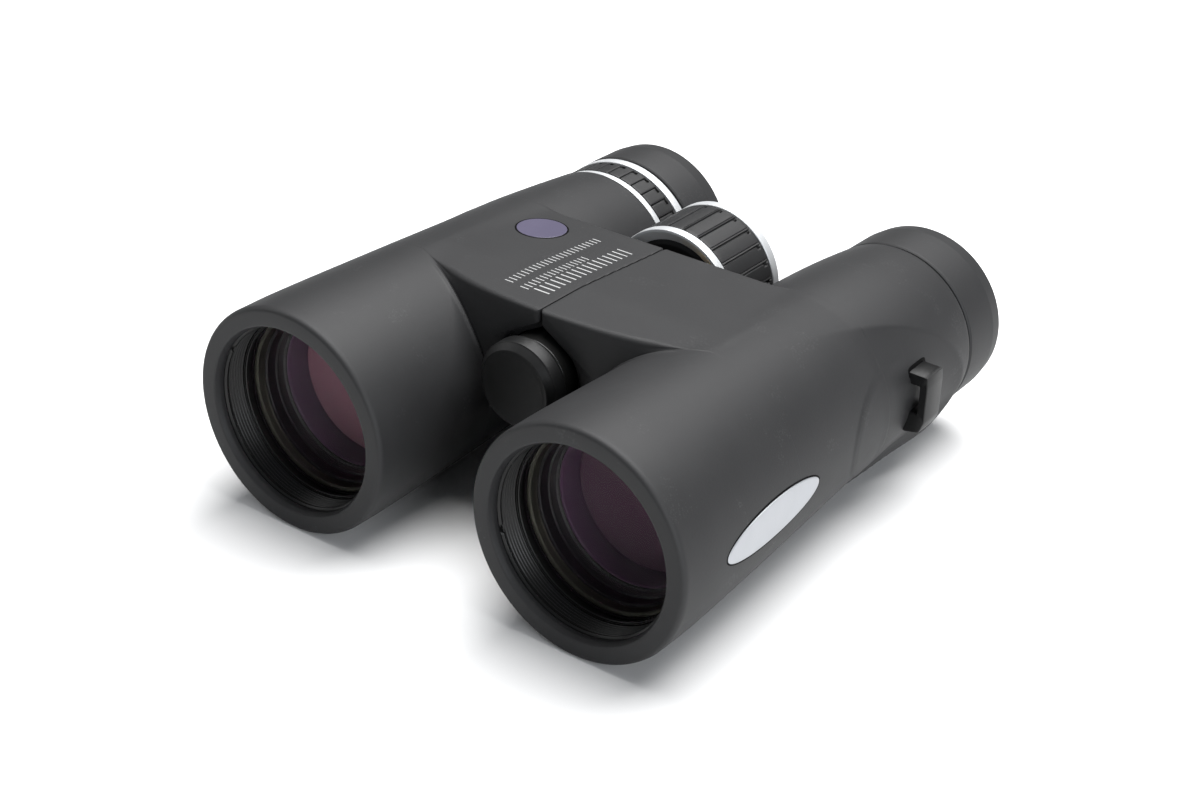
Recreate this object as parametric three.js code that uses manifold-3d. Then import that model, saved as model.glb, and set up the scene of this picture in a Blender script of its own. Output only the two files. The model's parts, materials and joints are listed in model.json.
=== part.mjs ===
// Roof-prism binoculars, 42 mm class, centre focus, in millimetres with +Z up.
// The objectives face -Y and the eyepieces +Y. The left barrel, as the user holds
// them, is at +X. The origin is under the middle of the object, on the surface it lies on.
// Lengths along a barrel are measured from the front lip towards the eyepieces.

import * as THREE from 'three';
import { mergeVertices } from 'three/addons/utils/BufferGeometryUtils.js';
import Module from 'manifold-3d';

const wasm = await Module();
wasm.setup();

// Overall sizes
const frontLength = 37;        // front lip to the bridge
const rearLength = 54.5;       // bridge to the eyecup rim, eyecups down
const pupilDistance = 78;      // between the barrel axes, opened to the stop
const barrelRadius = 26.7;     // rubber-covered barrel at its widest
const hingeRise = 9.7;         // hinge axis above the barrel axes

// Walls and clearances
const gap = 0.3;               // between neighbouring pieces
const turnGap = 0.4;           // between a turning piece and what it turns in
const armorWall = 2.7;
const rearArmorWall = 2.3;
const shoulderSwell = 2.3;     // how far the armour stands out in front of the eyepiece
const bridgeSkin = 2.5;
const tubeWall = 1.25;
const rearTubeWall = 2;

// Objective end
const lipWidth = 5.4;          // from the barrel's widest radius in to the aperture
const lipDepth = 3;
const threadDepth = 4.7;       // bare threaded bore in front of the retaining ring
const retainerHeight = 1.3;
const objectiveThickness = 5.4;
const rearElementThickness = 2.6;
const cellWall = 1.3;
const cellSetback = 6.7;       // objective cell's end in front of the bridge
const cellStop = 16;           // radius of the opening behind the lenses
const sealWidth = 1.8;

// Bridge and hinge
const bridgeEnd = 1.5;         // armour over the end knuckles
const bridgeDrop = 1.4;        // bridge top below the barrel's widest radius
const bridgeLevel = 14;        // level stretch of the bridge top, from the front
const bridgeFall = 2.3;        // drop of the top from there to the rear edge
const bridgeLow = -4.5;        // bridge underside, from the barrel axes
const foldRelief = 33;         // degrees cut off each wing below the hinge
const seamWidth = 0.3;
const knuckleRadius = 9.5;
const knuckleLength = 7;
const shaftRadius = 4;
const shaftHeadRadius = 6.2;
const socketRadius = 3.175;    // quarter-inch tripod thread
const socketWall = 1.4;
const washerHeight = 0.8;
const capRadius = 10.5;
const capHeight = 5.5;
const capStand = 2.4;          // from the cap's back to the bridge
const capStudLength = 7;

// Focus drive
const wheelGap = 2.7;          // from the bridge to the wheel
const wheelWidth = 21.1;
const wheelRingFront = 2.3;
const wheelRingRear = 2.8;
const wheelGripDepth = 1.7;
const neckRelief = 0.8;        // taken off the barrel beside the wheel
const wheelClearance = 0.6;
const spindleWall = 1.7;
const spoolWidth = 6;
const driveSlack = 1.1;        // spare room for the spool at the ends of its travel
const spoolFlange = 1.5;
const spoolDepth = 1.3;
const focusTravel = 3;         // each way from the middle
const focusCellWidth = 6;
const focusCellWall = 4.6;
const armHeight = 5;
const armTipWidth = 2.2;

// Prisms and eyepiece
const rearBore = 17.2;         // housing bore behind the objective
const cageLength = 32;
const cageWall = 1.2;
const prismClearance = 1.55;   // from a prism's corner to the cage
const eyepieceWall = 2.4;
const eyepieceInset = 5.8;     // eyepiece tube below the eyecup rim
const eyecupLength = 16;
const eyecupWall = 2.6;
const eyecupGap = 0.8;
const eyecupLip = 4.4;
const eyecupOpening = 15.2;
const guideWall = 1.3;
const fieldLensHeight = 5;
const eyeLensHeight = 5.2;
const stopHeight = 1.2;
const stopRadius = 9;
const diopterWidth = 10.6;
const diopterRingFront = 1.8;
const diopterRingRear = 2.4;
const diopterGripDepth = 1.6;

// Trim
const lugWidth = 7;
const lugHeight = 15.2;
const lugReach = 5.4;
const lugBar = 2;
const lugSetback = 24.5;        // lug centre in front of the eyecup
const lugFall = 0.6;           // lug centre below the barrel axis
const slotHeight = 6.6;
const slotWidth = 2.3;
const sideBadgeLength = 37.2;
const sideBadgeHeight = 9;
const sideBadgeStation = 33.8;
const sideBadgeThickness = 0.8;
const topBadgeRadius = 5.9;
const topBadgeSetback = 11.2;   // badge centre in front of the bridge's rear edge
const topBadgeReach = 11.7;    // from the barrel axis in towards the hinge
const topBadgeThickness = 0.7;

// Worked out from the sizes above
const hingeReach = pupilDistance / 2;
const hingeArm = Math.hypot(hingeReach, hingeRise);
const bridgeTop = barrelRadius - bridgeDrop;
const bridgeFront = frontLength;
const washerPitch = washerHeight + 2 * gap;
const driveFront = bridgeFront + bridgeEnd + 2 * knuckleLength + washerPitch;
const driveRear = driveFront + spoolWidth + 2 * focusTravel + 2 * gap + driveSlack;
const driveMiddle = (driveFront + driveRear) / 2;
const bridgeRear = driveRear + 2 * knuckleLength + washerPitch + bridgeEnd;
const bodyLength = bridgeRear + rearLength;
const apertureRadius = barrelRadius - lipWidth;
const housingFrontRadius = barrelRadius - armorWall;
const housingRearRadius = rearBore + rearTubeWall;
const rearRadius = housingRearRadius + rearArmorWall;
const shoulderRadius = rearRadius + shoulderSwell;
const coneStart = bridgeFront - 3;
const coneEnd = bridgeFront + 9;
const wheelRadius = hingeArm - (shoulderRadius - neckRelief) - wheelClearance;
const wheelFront = bridgeRear + wheelGap;
const wheelRear = wheelFront + wheelWidth;
const eyecupFront = bodyLength - eyecupLength;
const spindleRadius = shaftRadius + turnGap + spindleWall;
const spoolRadius = spindleRadius + gap + spoolDepth + 0.8;
const driveBore = spindleRadius + turnGap;
const prismFront = driveRear + 2.5;
const prismSize = (rearBore - gap - cageWall - prismClearance) * Math.SQRT2;
const lugStation = eyecupFront - lugSetback;
const topBadgeStation = bridgeRear - topBadgeSetback;
const eyepieceRadius = rearBore - turnGap;
const sides = { plain: 16, turned: 24, armor: 36 };

const barrels = {
  left: { side: 1, closing: 2.2, armorEnd: eyecupFront - eyecupGap, eyecupFront },
  right: {
    side: -1,
    closing: 1.25,
    armorEnd: eyecupFront - diopterWidth - gap,
    eyecupFront: eyecupFront + gap + eyecupGap,
  },
};

const badgeSlope = (badgeEdge(-1) - badgeEdge(1)) / sideBadgeLength;
const housingStepRadius = armorRadius(coneStart, 0, barrels.left) - sideBadgeThickness - 2 * gap - 0.5;
const frontBore = housingStepRadius - tubeWall;

function badgeEdge(end) {
  return armorRadius(sideBadgeStation + (end * sideBadgeLength) / 2, 0, barrels.left);
}

// A closed geometry with shared corners, no flat slivers and its faces pointing out.
function tidy(geometry) {
  geometry.deleteAttribute('normal');
  geometry.deleteAttribute('uv');
  const merged = mergeVertices(geometry, 1e-4);
  const corner = [0, 1, 2].map(() => new THREE.Vector3());
  const kept = [];
  let volume = 0;
  for (let i = 0; i < merged.index.count; i += 3) {
    const face = [0, 1, 2].map((k) => merged.index.getX(i + k));
    if (new Set(face).size < 3) continue;
    face.forEach((v, k) => corner[k].fromBufferAttribute(merged.attributes.position, v));
    volume += corner[0].dot(corner[1].cross(corner[2]));
    kept.push(face);
  }
  merged.setIndex(kept.flatMap(([a, b, c]) => (volume > 0 ? [a, b, c] : [a, c, b])));
  return merged;
}

function toSolid(geometry) {
  const closed = tidy(geometry);
  return new wasm.Manifold(new wasm.Mesh({
    numProp: 3,
    vertProperties: new Float32Array(closed.attributes.position.array),
    triVerts: new Uint32Array(closed.index.array),
  }));
}

// Joins some geometries into one and cuts others out of it.
function carve(joined, cuts = []) {
  const whole = joined.map(toSolid).reduce((a, b) => a.add(b));
  const mesh = cuts.map(toSolid).reduce((a, b) => a.subtract(b), whole).getMesh();
  const geometry = new THREE.BufferGeometry();
  geometry.setAttribute('position', new THREE.BufferAttribute(mesh.vertProperties, 3));
  geometry.setIndex(new THREE.BufferAttribute(mesh.triVerts, 1));
  return geometry;
}

// Turned shape about Y: points are [radius, distance along the axis].
function turned(points, count = sides.plain) {
  const outline = points.map(([radius, along]) => new THREE.Vector2(radius, along));
  const onAxis = points[0][0] === 0 && points.at(-1)[0] === 0;
  if (!onAxis) outline.push(outline[0].clone());
  return new THREE.LatheGeometry(outline, count);
}

// Plain ring, or a disc when its inner radius is zero.
function ring(inner, outer, from, to, count = sides.plain) {
  return turned([[inner, from], [outer, from], [outer, to], [inner, to]], count);
}

// Flat outline in X and Z, carried along Y.
function prism(points, from, to) {
  const shape = new THREE.Shape(points.map(([x, z]) => new THREE.Vector2(x, z)));
  const geometry = new THREE.ExtrudeGeometry(shape, { depth: to - from, bevelEnabled: false });
  return geometry.rotateX(Math.PI / 2).translate(0, to, 0);
}

// Flat outline along the barrel and in Z, carried evenly to both sides along X.
function acrossX(points, width) {
  const shape = new THREE.Shape(points.map(([along, z]) => new THREE.Vector2(along, z)));
  const body = new THREE.ExtrudeGeometry(shape, { depth: width, bevelEnabled: false });
  return body.translate(0, 0, -width / 2).rotateY(Math.PI / 2).rotateX(Math.PI / 2);
}

function block(lowest, highest) {
  const size = highest.map((value, k) => value - lowest[k]);
  const middle = highest.map((value, k) => (value + lowest[k]) / 2);
  return new THREE.BoxGeometry(...size).translate(...middle);
}

// A lens between two spherical faces; a positive sag bulges outwards.
function lens(radius, from, to, frontSag, rearSag, count = sides.plain) {
  const steps = 2;
  const face = (edge, sag) => Array.from({ length: steps + 1 }, (_, k) => {
    const r = (radius * k) / steps;
    return [r, edge + sag * (1 - (r / radius) ** 2)];
  });
  return turned([...face(from, -frontSag), ...face(to, rearSag).reverse()], count);
}

const materials = {
  rubber: [0x2b2b2d, 0.72, 0],
  casting: [0x26272a, 0.6, 0.3],
  blackMetal: [0x18191b, 0.45, 0.6],
  satinChrome: [0xe4e6e6, 0.28, 1],
  brass: [0xb08d4a, 0.4, 1],
  steel: [0x9a9c9e, 0.35, 1],
  plastic: [0x141516, 0.4, 0],
  coatedGlass: [0x5a2f4c, 0.06, 0],
  glass: [0xcfd6d8, 0.05, 0],
  badge: [0x7a7590, 0.4, 0.1],
  silver: [0xc9cccf, 0.35, 0.9],
};

function part(parent, name, geometry, [color, roughness, metalness]) {
  const material = new THREE.MeshStandardMaterial({ color, roughness, metalness });
  material.name = `${name}_material`;
  const mesh = new THREE.Mesh(tidy(geometry), material);
  mesh.name = name;
  parent.add(mesh);
}

function clamp(value) {
  return Math.min(1, Math.max(0, value));
}

function smooth(value) {
  return clamp(value) ** 2 * (3 - 2 * clamp(value));
}

// Radius of the armour: a slow taper to the shoulder, a quicker one to the eyepiece, a
// rounded front edge, a thumb scoop inside an ellipse on the outer side, and a swell below it.
// The angle is 0 outwards, 90 up, 180 towards the hinge, in degrees from -180 to 180.
function armorRadius(along, angle, { armorEnd, closing }) {
  const frontRound = 1.4;
  const straight = 8;
  const shoulder = bridgeRear - 2.5;
  const edge = Math.max(0, 1 - along / 2.5) ** 2.4;
  const slow = (barrelRadius - shoulderRadius) * clamp((along - straight) / (shoulder - straight)) ** 1.3;
  const quick = shoulderSwell * clamp((along - shoulder) / (armorEnd - shoulder)) ** closing;
  const scoopFront = 32;
  const scoopMiddle = -22;
  const across = (angle - scoopMiddle) / (angle > scoopMiddle ? 97 : 42);
  const lengthwise = Math.max(0, along - scoopFront) / (armorEnd - 2 - scoopFront);
  const inside = 1 - Math.hypot(across, lengthwise);
  const ramp = 0.5 - 0.35 * smooth((along - 60) / 35);
  const scoop = 1.9 * clamp((along - 12) / 83) * smooth(inside / ramp);
  const swell = 1.1 * Math.exp(-(((along - armorEnd + 10) / 9) ** 2) - ((angle + 50) / 28) ** 2);
  return barrelRadius - frontRound * edge - slow - quick - scoop + swell * smooth((armorEnd - along) / 4);
}

// Solid whose radius varies with the distance along Y and the angle around it.
function barrelSolid({ side, closing, armorEnd }) {
  const stations = [0, 0.5, 1.4, 2.6];
  const count = 10;
  for (let k = 1; k <= count; k += 1) stations.push(2.6 + ((armorEnd - 2.6) * k) / count);
  const columns = sides.armor;
  const places = [0, stations[0], 0, 0, stations.at(-1), 0];
  const index = [];
  const vertex = (row, column) => 2 + row * columns + (column % columns);
  stations.forEach((along, row) => {
    for (let c = 0; c < columns; c += 1) {
      const turn = (c / columns) * 2 * Math.PI;
      const degrees = ((turn * 180) / Math.PI + 180) % 360 - 180;
      const radius = armorRadius(along, degrees, { armorEnd, closing });
      places.push(side * radius * Math.cos(turn), along, radius * Math.sin(turn));
      const last = row === stations.length - 1;
      if (row === 0) index.push(0, vertex(0, c), vertex(0, c + 1));
      if (last) index.push(1, vertex(row, c + 1), vertex(row, c));
      else {
        index.push(vertex(row, c), vertex(row + 1, c), vertex(row + 1, c + 1));
        index.push(vertex(row, c), vertex(row + 1, c + 1), vertex(row, c + 1));
      }
    }
  });
  const geometry = new THREE.BufferGeometry();
  geometry.setAttribute('position', new THREE.Float32BufferAttribute(places, 3));
  geometry.setIndex(index);
  return geometry;
}

// Section of a bridge wing, drawn inwards from the barrel axis and shrunk by an inset. Its
// outer side, inside the barrel, lies past the axis by the overrun.
function wingOutline(side, inset, overrun) {
  const tilt = THREE.MathUtils.degToRad(foldRelief);
  const seam = hingeReach - seamWidth / 2 - inset;
  const top = bridgeTop - inset;
  const low = bridgeLow + inset;
  const slant = (z) => hingeReach - (hingeRise - z) * Math.tan(tilt) - inset / Math.cos(tilt);
  const corner = hingeRise - (hingeReach - inset / Math.cos(tilt) - seam) / Math.tan(tilt);
  const points = [[seam, top], [-overrun, top], [-overrun, low], [slant(low), low], [seam, corner]];
  return points.map(([inward, z]) => [-side * inward, z]);
}

// Bridge wing: its section carried along the barrel, with the top falling towards the rear.
function wing(side, inset, overrun = 0) {
  const [front, rear] = [bridgeFront + inset, bridgeRear - inset];
  const level = bridgeFront + bridgeLevel;
  const slope = bridgeFall / (bridgeRear - level);
  const above = [
    [level, bridgeTop - inset], [bridgeRear + 2, bridgeTop - inset - slope * (bridgeRear + 2 - level)],
    [bridgeRear + 2, bridgeTop + 2], [level, bridgeTop + 2],
  ];
  const section = wingOutline(side, inset, overrun);
  return carve([prism(section, front, rear)], [acrossX(above, 2 * hingeReach + 4)]);
}

// Moves something drawn about the hinge axis into a barrel's frame.
const atHinge = (geometry, side) => geometry.translate(-side * hingeReach, 0, hingeRise);

const hingeDrum = (side, radius, from, to) => (
  atHinge(ring(0, radius, from, to, sides.turned), side)
);

// Outer shape of the housing tube, grown by the clearance its armour keeps.
function housingTube(from, to, grow) {
  return turned([
    [0, from],
    [housingFrontRadius + grow, from],
    [housingStepRadius + grow, coneStart],
    [housingRearRadius + 0.6 + grow, bridgeFront + 37],
    [housingRearRadius + grow, to],
    [0, to],
  ], sides.turned);
}

function housingBore(end) {
  return turned([
    [0, lipDepth - 1], [frontBore, lipDepth - 1], [frontBore, coneStart],
    [rearBore, coneEnd], [rearBore, end + 1], [0, end + 1],
  ]);
}

// Knuckles alternate along the shaft: the left barrel has the outer pair.
function knuckles() {
  const first = bridgeFront + bridgeEnd;
  const inner = first + knuckleLength + washerPitch;
  const rear = driveRear + knuckleLength + washerPitch;
  return {
    left: [[bridgeFront - 1.8, first + knuckleLength], [rear, rear + knuckleLength]],
    right: [[inner, driveFront], [driveRear, driveRear + knuckleLength]],
    washers: [[first + knuckleLength + gap, 0], [driveRear + knuckleLength + gap, 1]],
  };
}

// Slot along the line from the barrel axis to the hinge axis.
function towardsHinge(side, from, to, halfHeight, start, stop) {
  const tilt = Math.atan2(hingeRise, hingeReach);
  const bar = block([from, start, -halfHeight], [to, stop, halfHeight]);
  return bar.rotateY(side > 0 ? tilt - Math.PI : -tilt);
}

const capRelief = (side) => (
  hingeDrum(side, capRadius + wheelClearance, bridgeFront - capStand - capHeight - 2, bridgeFront - 1)
);

const wheelRelief = (side) => (
  hingeDrum(side, wheelRadius + wheelClearance, bridgeRear + 1, wheelRear + 1.5)
);

function housing(name) {
  const { side, armorEnd } = barrels[name];
  const other = name === 'left' ? 'right' : 'left';
  const end = armorEnd - gap;
  const drums = knuckles();
  const own = drums[name].map(([from, to]) => hingeDrum(side, knuckleRadius, from, to));
  const clearOf = (spans) => spans.map(([from, to]) => (
    hingeDrum(side, knuckleRadius + turnGap, from - gap, to + gap)
  ));
  const washers = drums.washers.map(([from]) => [from, from + washerHeight]);
  const cuts = [
    housingBore(end),
    hingeDrum(side, knuckleRadius + turnGap, driveFront, driveRear),
    ...clearOf(drums[other]),
    ...clearOf(washers),
    hingeDrum(side, shaftHeadRadius + turnGap, bridgeFront - 3, drums.right[0][0]),
    hingeDrum(side, shaftRadius + turnGap, drums.right[0][0] - 1, driveFront + 1),
    hingeDrum(side, driveBore, driveFront, bridgeRear),
    towardsHinge(side, rearBore - 3, hingeArm, armHeight / 2 + 1, driveFront + gap, driveRear - gap),
    capRelief(side),
    wheelRelief(side),
  ];
  if (name === 'right') cuts.push(topBadge(side, 2 * gap, 3));
  const body = carve([housingTube(lipDepth + gap, end, 0), wing(side, bridgeSkin)], cuts);
  const bores = [
    hingeDrum(side, shaftHeadRadius + turnGap, bridgeFront - 3, drums.right[0][0] - gap),
    hingeDrum(side, shaftRadius + turnGap, bridgeFront, driveFront + 1),
    hingeDrum(side, driveBore, driveFront, bridgeRear),
  ];
  const lugs = carve(own, name === 'left' ? bores : bores.slice(1));
  return carve([body, lugs], [housingBore(end)]);
}

function armor(name) {
  const { side, armorEnd } = barrels[name];
  const aperture = turned([
    [0, -1], [apertureRadius + 1.7, -1], [apertureRadius, 1], [apertureRadius, lipDepth + 1], [0, lipDepth + 1],
  ], sides.turned);
  const cuts = [
    aperture,
    housingTube(lipDepth, armorEnd + 1, gap),
    wing(side, bridgeSkin - gap, gap),
    hingeDrum(side, knuckleRadius + turnGap, bridgeFront - 1, bridgeRear + 1),
    hingeDrum(side, capRadius + gap, bridgeFront - 1, bridgeFront + 1.5),
    capRelief(side),
    wheelRelief(side),
    sideBadge(side, gap, 6),
    lugWindow(side),
  ];
  if (name === 'right') cuts.push(topBadge(side, gap, 3));
  return carve([barrelSolid(barrels[name]), wing(side, 0)], cuts);
}

// Oval plate on the outer side, leaning with the barrel's taper.
function sideBadge(side, grow, extra) {
  const seat = armorRadius(sideBadgeStation, 0, barrels.left) - sideBadgeThickness;
  const oval = new THREE.Shape().absellipse(
    0, 0, sideBadgeLength / 2 + grow, sideBadgeHeight / 2 + grow, 0, 2 * Math.PI,
  );
  const depth = sideBadgeThickness + extra;
  const plate = new THREE.ExtrudeGeometry(oval, { depth, bevelEnabled: false, curveSegments: 16 });
  plate.rotateZ(Math.PI / 2).rotateY(side * Math.PI / 2).rotateZ(side * Math.atan(badgeSlope));
  return plate.translate(side * (seat - grow), sideBadgeStation, 0);
}

// Round plate let into the top of the wing, lying on its slope.
function topBadge(side, grow, extra) {
  const level = bridgeFront + bridgeLevel;
  const slope = bridgeFall / (bridgeRear - level);
  const surface = bridgeTop - slope * (topBadgeStation - level);
  const height = topBadgeThickness + extra;
  const disc = new THREE.CylinderGeometry(
    topBadgeRadius + grow, topBadgeRadius + grow, height, sides.turned,
  );
  disc.rotateX(Math.PI / 2).translate(0, 0, height / 2 - topBadgeThickness - grow + (extra ? 0 : 0.1));
  return disc.rotateX(-Math.atan(slope)).translate(-side * topBadgeReach, topBadgeStation, surface);
}

function lugWindow(side) {
  const half = lugHeight / 2 + gap;
  const window = block(
    [housingRearRadius - 1, lugStation - lugWidth / 2 - gap, -lugFall - half],
    [barrelRadius + 5, lugStation + lugWidth / 2 + gap, -lugFall + half],
  );
  return side > 0 ? window : window.rotateZ(Math.PI).translate(0, 2 * lugStation, 0);
}

// Strap lug: a flat loop standing off the barrel, its slot running along the barrel.
function strapLug(side) {
  const foot = housingRearRadius + 0.9;
  const tip = foot + lugReach;
  const base = lugHeight / 2;
  const outer = base - 1.5;
  const outline = [[foot, -base], [foot + 1.6, -base], [tip - 0.8, -outer], [tip, -outer + 0.8],
    [tip, outer - 0.8], [tip - 0.8, outer], [foot + 1.6, base], [foot, base]];
  if (side < 0) outline.reverse();
  const shape = new THREE.Shape(outline.map(([x, z]) => new THREE.Vector2(side * x, z - lugFall)));
  const inner = tip - lugBar;
  const slot = [[inner - slotWidth, -1], [inner, -1], [inner, 1], [inner - slotWidth, 1]];
  shape.holes.push(new THREE.Path(slot.map(([x, z]) => (
    new THREE.Vector2(side * x, (z * slotHeight) / 2 - lugFall)
  ))));
  const loop = new THREE.ExtrudeGeometry(shape, { depth: lugWidth, bevelEnabled: false });
  return loop.rotateX(Math.PI / 2).translate(0, lugStation + lugWidth / 2, 0);
}

function objectiveParts(group, name) {
  const thread = lipDepth + gap + threadDepth;
  const cellOuter = frontBore - gap;
  const lensRadius = cellOuter - cellWall - gap;
  const lensFront = thread + retainerHeight + gap;
  const rearLens = lensFront + objectiveThickness + gap;
  const seat = rearLens + rearElementThickness + gap;
  const cellEnd = bridgeFront - cellSetback;
  const groove = cellEnd - 5;
  const retainerInner = lensRadius - 0.5;
  part(group, `${name}_objective_retainer`, turned([
    [retainerInner, thread + retainerHeight], [retainerInner + 0.4, thread],
    [cellOuter, thread], [cellOuter, thread + retainerHeight],
  ]), materials.blackMetal);
  part(group, `${name}_objective_lens`,
    lens(lensRadius, lensFront + 1.4, lensFront + objectiveThickness - 0.6, 1.4, 0.5), materials.coatedGlass);
  part(group, `${name}_objective_rear_lens`,
    lens(lensRadius, rearLens + 0.1, rearLens + rearElementThickness, -0.5, 0), materials.glass);
  part(group, `${name}_objective_cell`, turned([
    [cellOuter - cellWall, lensFront], [cellOuter, lensFront], [cellOuter, groove],
    [cellOuter - cellWall, groove], [cellOuter - cellWall, groove + sealWidth + gap],
    [cellOuter, groove + sealWidth + gap], [cellOuter, cellEnd], [cellStop - 0.7, cellEnd],
    [cellStop, seat + 3], [cellStop + 2, seat], [cellOuter - cellWall, seat],
  ]), materials.blackMetal);
  const sealInner = cellOuter - cellWall + gap;
  part(group, `${name}_objective_seal`,
    ring(sealInner, cellOuter, groove + gap, groove + sealWidth), materials.rubber);
}

// Focusing lens and its sliding cell, whose arm reaches the spool on the hinge shaft.
function focusingParts(group, name) {
  const { side } = barrels[name];
  const outer = rearBore - turnGap;
  const inner = outer - focusCellWall;
  const [front, rear] = [driveMiddle - focusCellWidth / 2, driveMiddle + focusCellWidth / 2];
  const armEnd = hingeArm - spoolRadius - turnGap - 0.1;
  const tipEnd = hingeArm - (spoolRadius - spoolDepth) - turnGap;
  const tip = armTipWidth / 2;
  const arm = towardsHinge(side, outer - 1.5, armEnd, armHeight / 2, front, rear);
  const tongue = towardsHinge(side, armEnd - 1, tipEnd, armHeight / 2, driveMiddle - tip, driveMiddle + tip);
  part(group, `${name}_focus_cell`, carve([ring(inner, outer, front, rear), arm, tongue]), materials.blackMetal);
  part(group, `${name}_focus_lens`,
    lens(inner - gap, front + 1, rear - 1, -0.7, -0.7), materials.glass);
}

// Two prisms of a roof-prism set in an open cage.
function prismParts(group, name) {
  const outer = rearBore - gap;
  const inner = outer - cageWall;
  const rear = prismFront + cageLength;
  const half = prismSize / 2;
  const window = block([-outer - 1, prismFront + 4, -half / 2], [outer + 1, rear - 4, half / 2]);
  part(group, `${name}_prism_cage`,
    carve([ring(inner, outer, prismFront, rear)], [window]), materials.blackMetal);
  const split = prismFront + cageLength * 0.42;
  const slope = prismSize * 0.4;
  const reach = half - 0.5;
  part(group, `${name}_half_penta_prism`, acrossX([
    [prismFront + 1, -reach], [prismFront + 1, reach],
    [split + slope / 2 - gap, reach], [split - slope / 2 - gap, -reach],
  ], prismSize), materials.glass);
  part(group, `${name}_roof_prism`, acrossX([
    [split - slope / 2 + gap, -reach], [split + slope / 2 + gap, reach],
    [rear - 4, reach], [rear - 1, reach - 4],
    [rear - 1, -reach],
  ], prismSize), materials.glass);
}

function eyepieceParts(group, name) {
  const front = prismFront + cageLength + 1.5;
  const rear = bodyLength - eyepieceInset;
  const bore = eyepieceRadius - eyepieceWall;
  const eyeLensRear = rear - 1.6;
  part(group, `${name}_eyepiece_tube`,
    ring(bore, eyepieceRadius, front, rear), materials.blackMetal);
  const stopAt = front + 2;
  part(group, `${name}_field_stop`, ring(stopRadius, bore - gap, stopAt, stopAt + stopHeight), materials.blackMetal);
  const fieldFront = stopAt + stopHeight + 3;
  const carried = name === 'right';
  const fieldRadius = bore - gap - (carried ? 1.4 : 0);
  if (carried) {
    part(group, 'diopter_lens_cell',
      ring(fieldRadius + gap, bore - gap, fieldFront - 0.5, fieldFront + fieldLensHeight + 0.5),
      materials.blackMetal);
  }
  part(group, `${name}_field_lens`,
    lens(fieldRadius, fieldFront + 1, fieldFront + fieldLensHeight - 1, 0.8, 0.8), materials.glass);
  part(group, `${name}_eye_lens`,
    lens(bore - gap, eyeLensRear - eyeLensHeight + 1, eyeLensRear - 1.3, 0.8, 0.8), materials.coatedGlass);
  part(group, `${name}_eye_lens_retainer`,
    ring(bore - gap - 2, bore - gap, eyeLensRear - 1, rear - 0.2), materials.blackMetal);
}

function eyecupParts(group, name) {
  const { eyecupFront: front } = barrels[name];
  const guideInner = eyepieceRadius + turnGap;
  const guideOuter = guideInner + guideWall;
  part(group, `${name}_eyecup_guide`,
    ring(guideInner, guideOuter, front + gap, bodyLength - eyecupLip - 0.6, sides.turned), materials.plastic);
  const inner = guideOuter + gap;
  const outer = inner + eyecupWall;
  part(group, `${name}_eyecup`, turned([
    [inner, front], [outer, front], [outer - 0.1, bodyLength - 3.5], [outer - 0.6, bodyLength - 1],
    [outer - 1.6, bodyLength], [eyecupOpening + 1.8, bodyLength], [eyecupOpening, bodyLength - 1.5],
    [eyecupOpening, bodyLength - eyecupLip], [inner, bodyLength - eyecupLip],
  ], sides.turned), materials.rubber);
}

// Diopter adjustment on the right eyepiece: core, ribbed grip and two trim rings.
function diopterParts(group) {
  const front = barrels.right.armorEnd + gap;
  const rear = front + diopterWidth + gap;
  const outer = rearRadius - 0.3;
  const coreOuter = outer - diopterGripDepth - gap;
  const gripFront = front + diopterRingFront + gap;
  const gripRear = rear - diopterRingRear - gap;
  const seat = coreOuter + gap;
  part(group, 'diopter_core',
    ring(eyepieceRadius + turnGap, coreOuter, front, rear, sides.turned), materials.plastic);
  part(group, 'diopter_front_ring',
    ring(seat, outer - 0.1, front, gripFront - gap, sides.turned), materials.satinChrome);
  part(group, 'diopter_grip', ring(seat, outer, gripFront, gripRear, sides.turned), materials.rubber);
  part(group, 'diopter_rear_ring',
    ring(seat, outer + 0.1, gripRear + gap, rear, sides.turned), materials.satinChrome);
}

function barrel(name) {
  const { side } = barrels[name];
  const group = new THREE.Group();
  group.position.set(side * hingeReach, -bodyLength / 2, barrelRadius);
  part(group, `${name}_housing`, housing(name), materials.casting);
  part(group, `${name}_armor`, armor(name), materials.rubber);
  objectiveParts(group, name);
  focusingParts(group, name);
  prismParts(group, name);
  eyepieceParts(group, name);
  eyecupParts(group, name);
  part(group, `${name}_strap_lug`, strapLug(side), materials.plastic);
  part(group, `${name}_side_badge`, sideBadge(side, 0, 0), materials.silver);
  if (name === 'right') {
    diopterParts(group);
    part(group, 'top_badge', topBadge(side, 0, 0), materials.badge);
  }
  return group;
}

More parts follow.
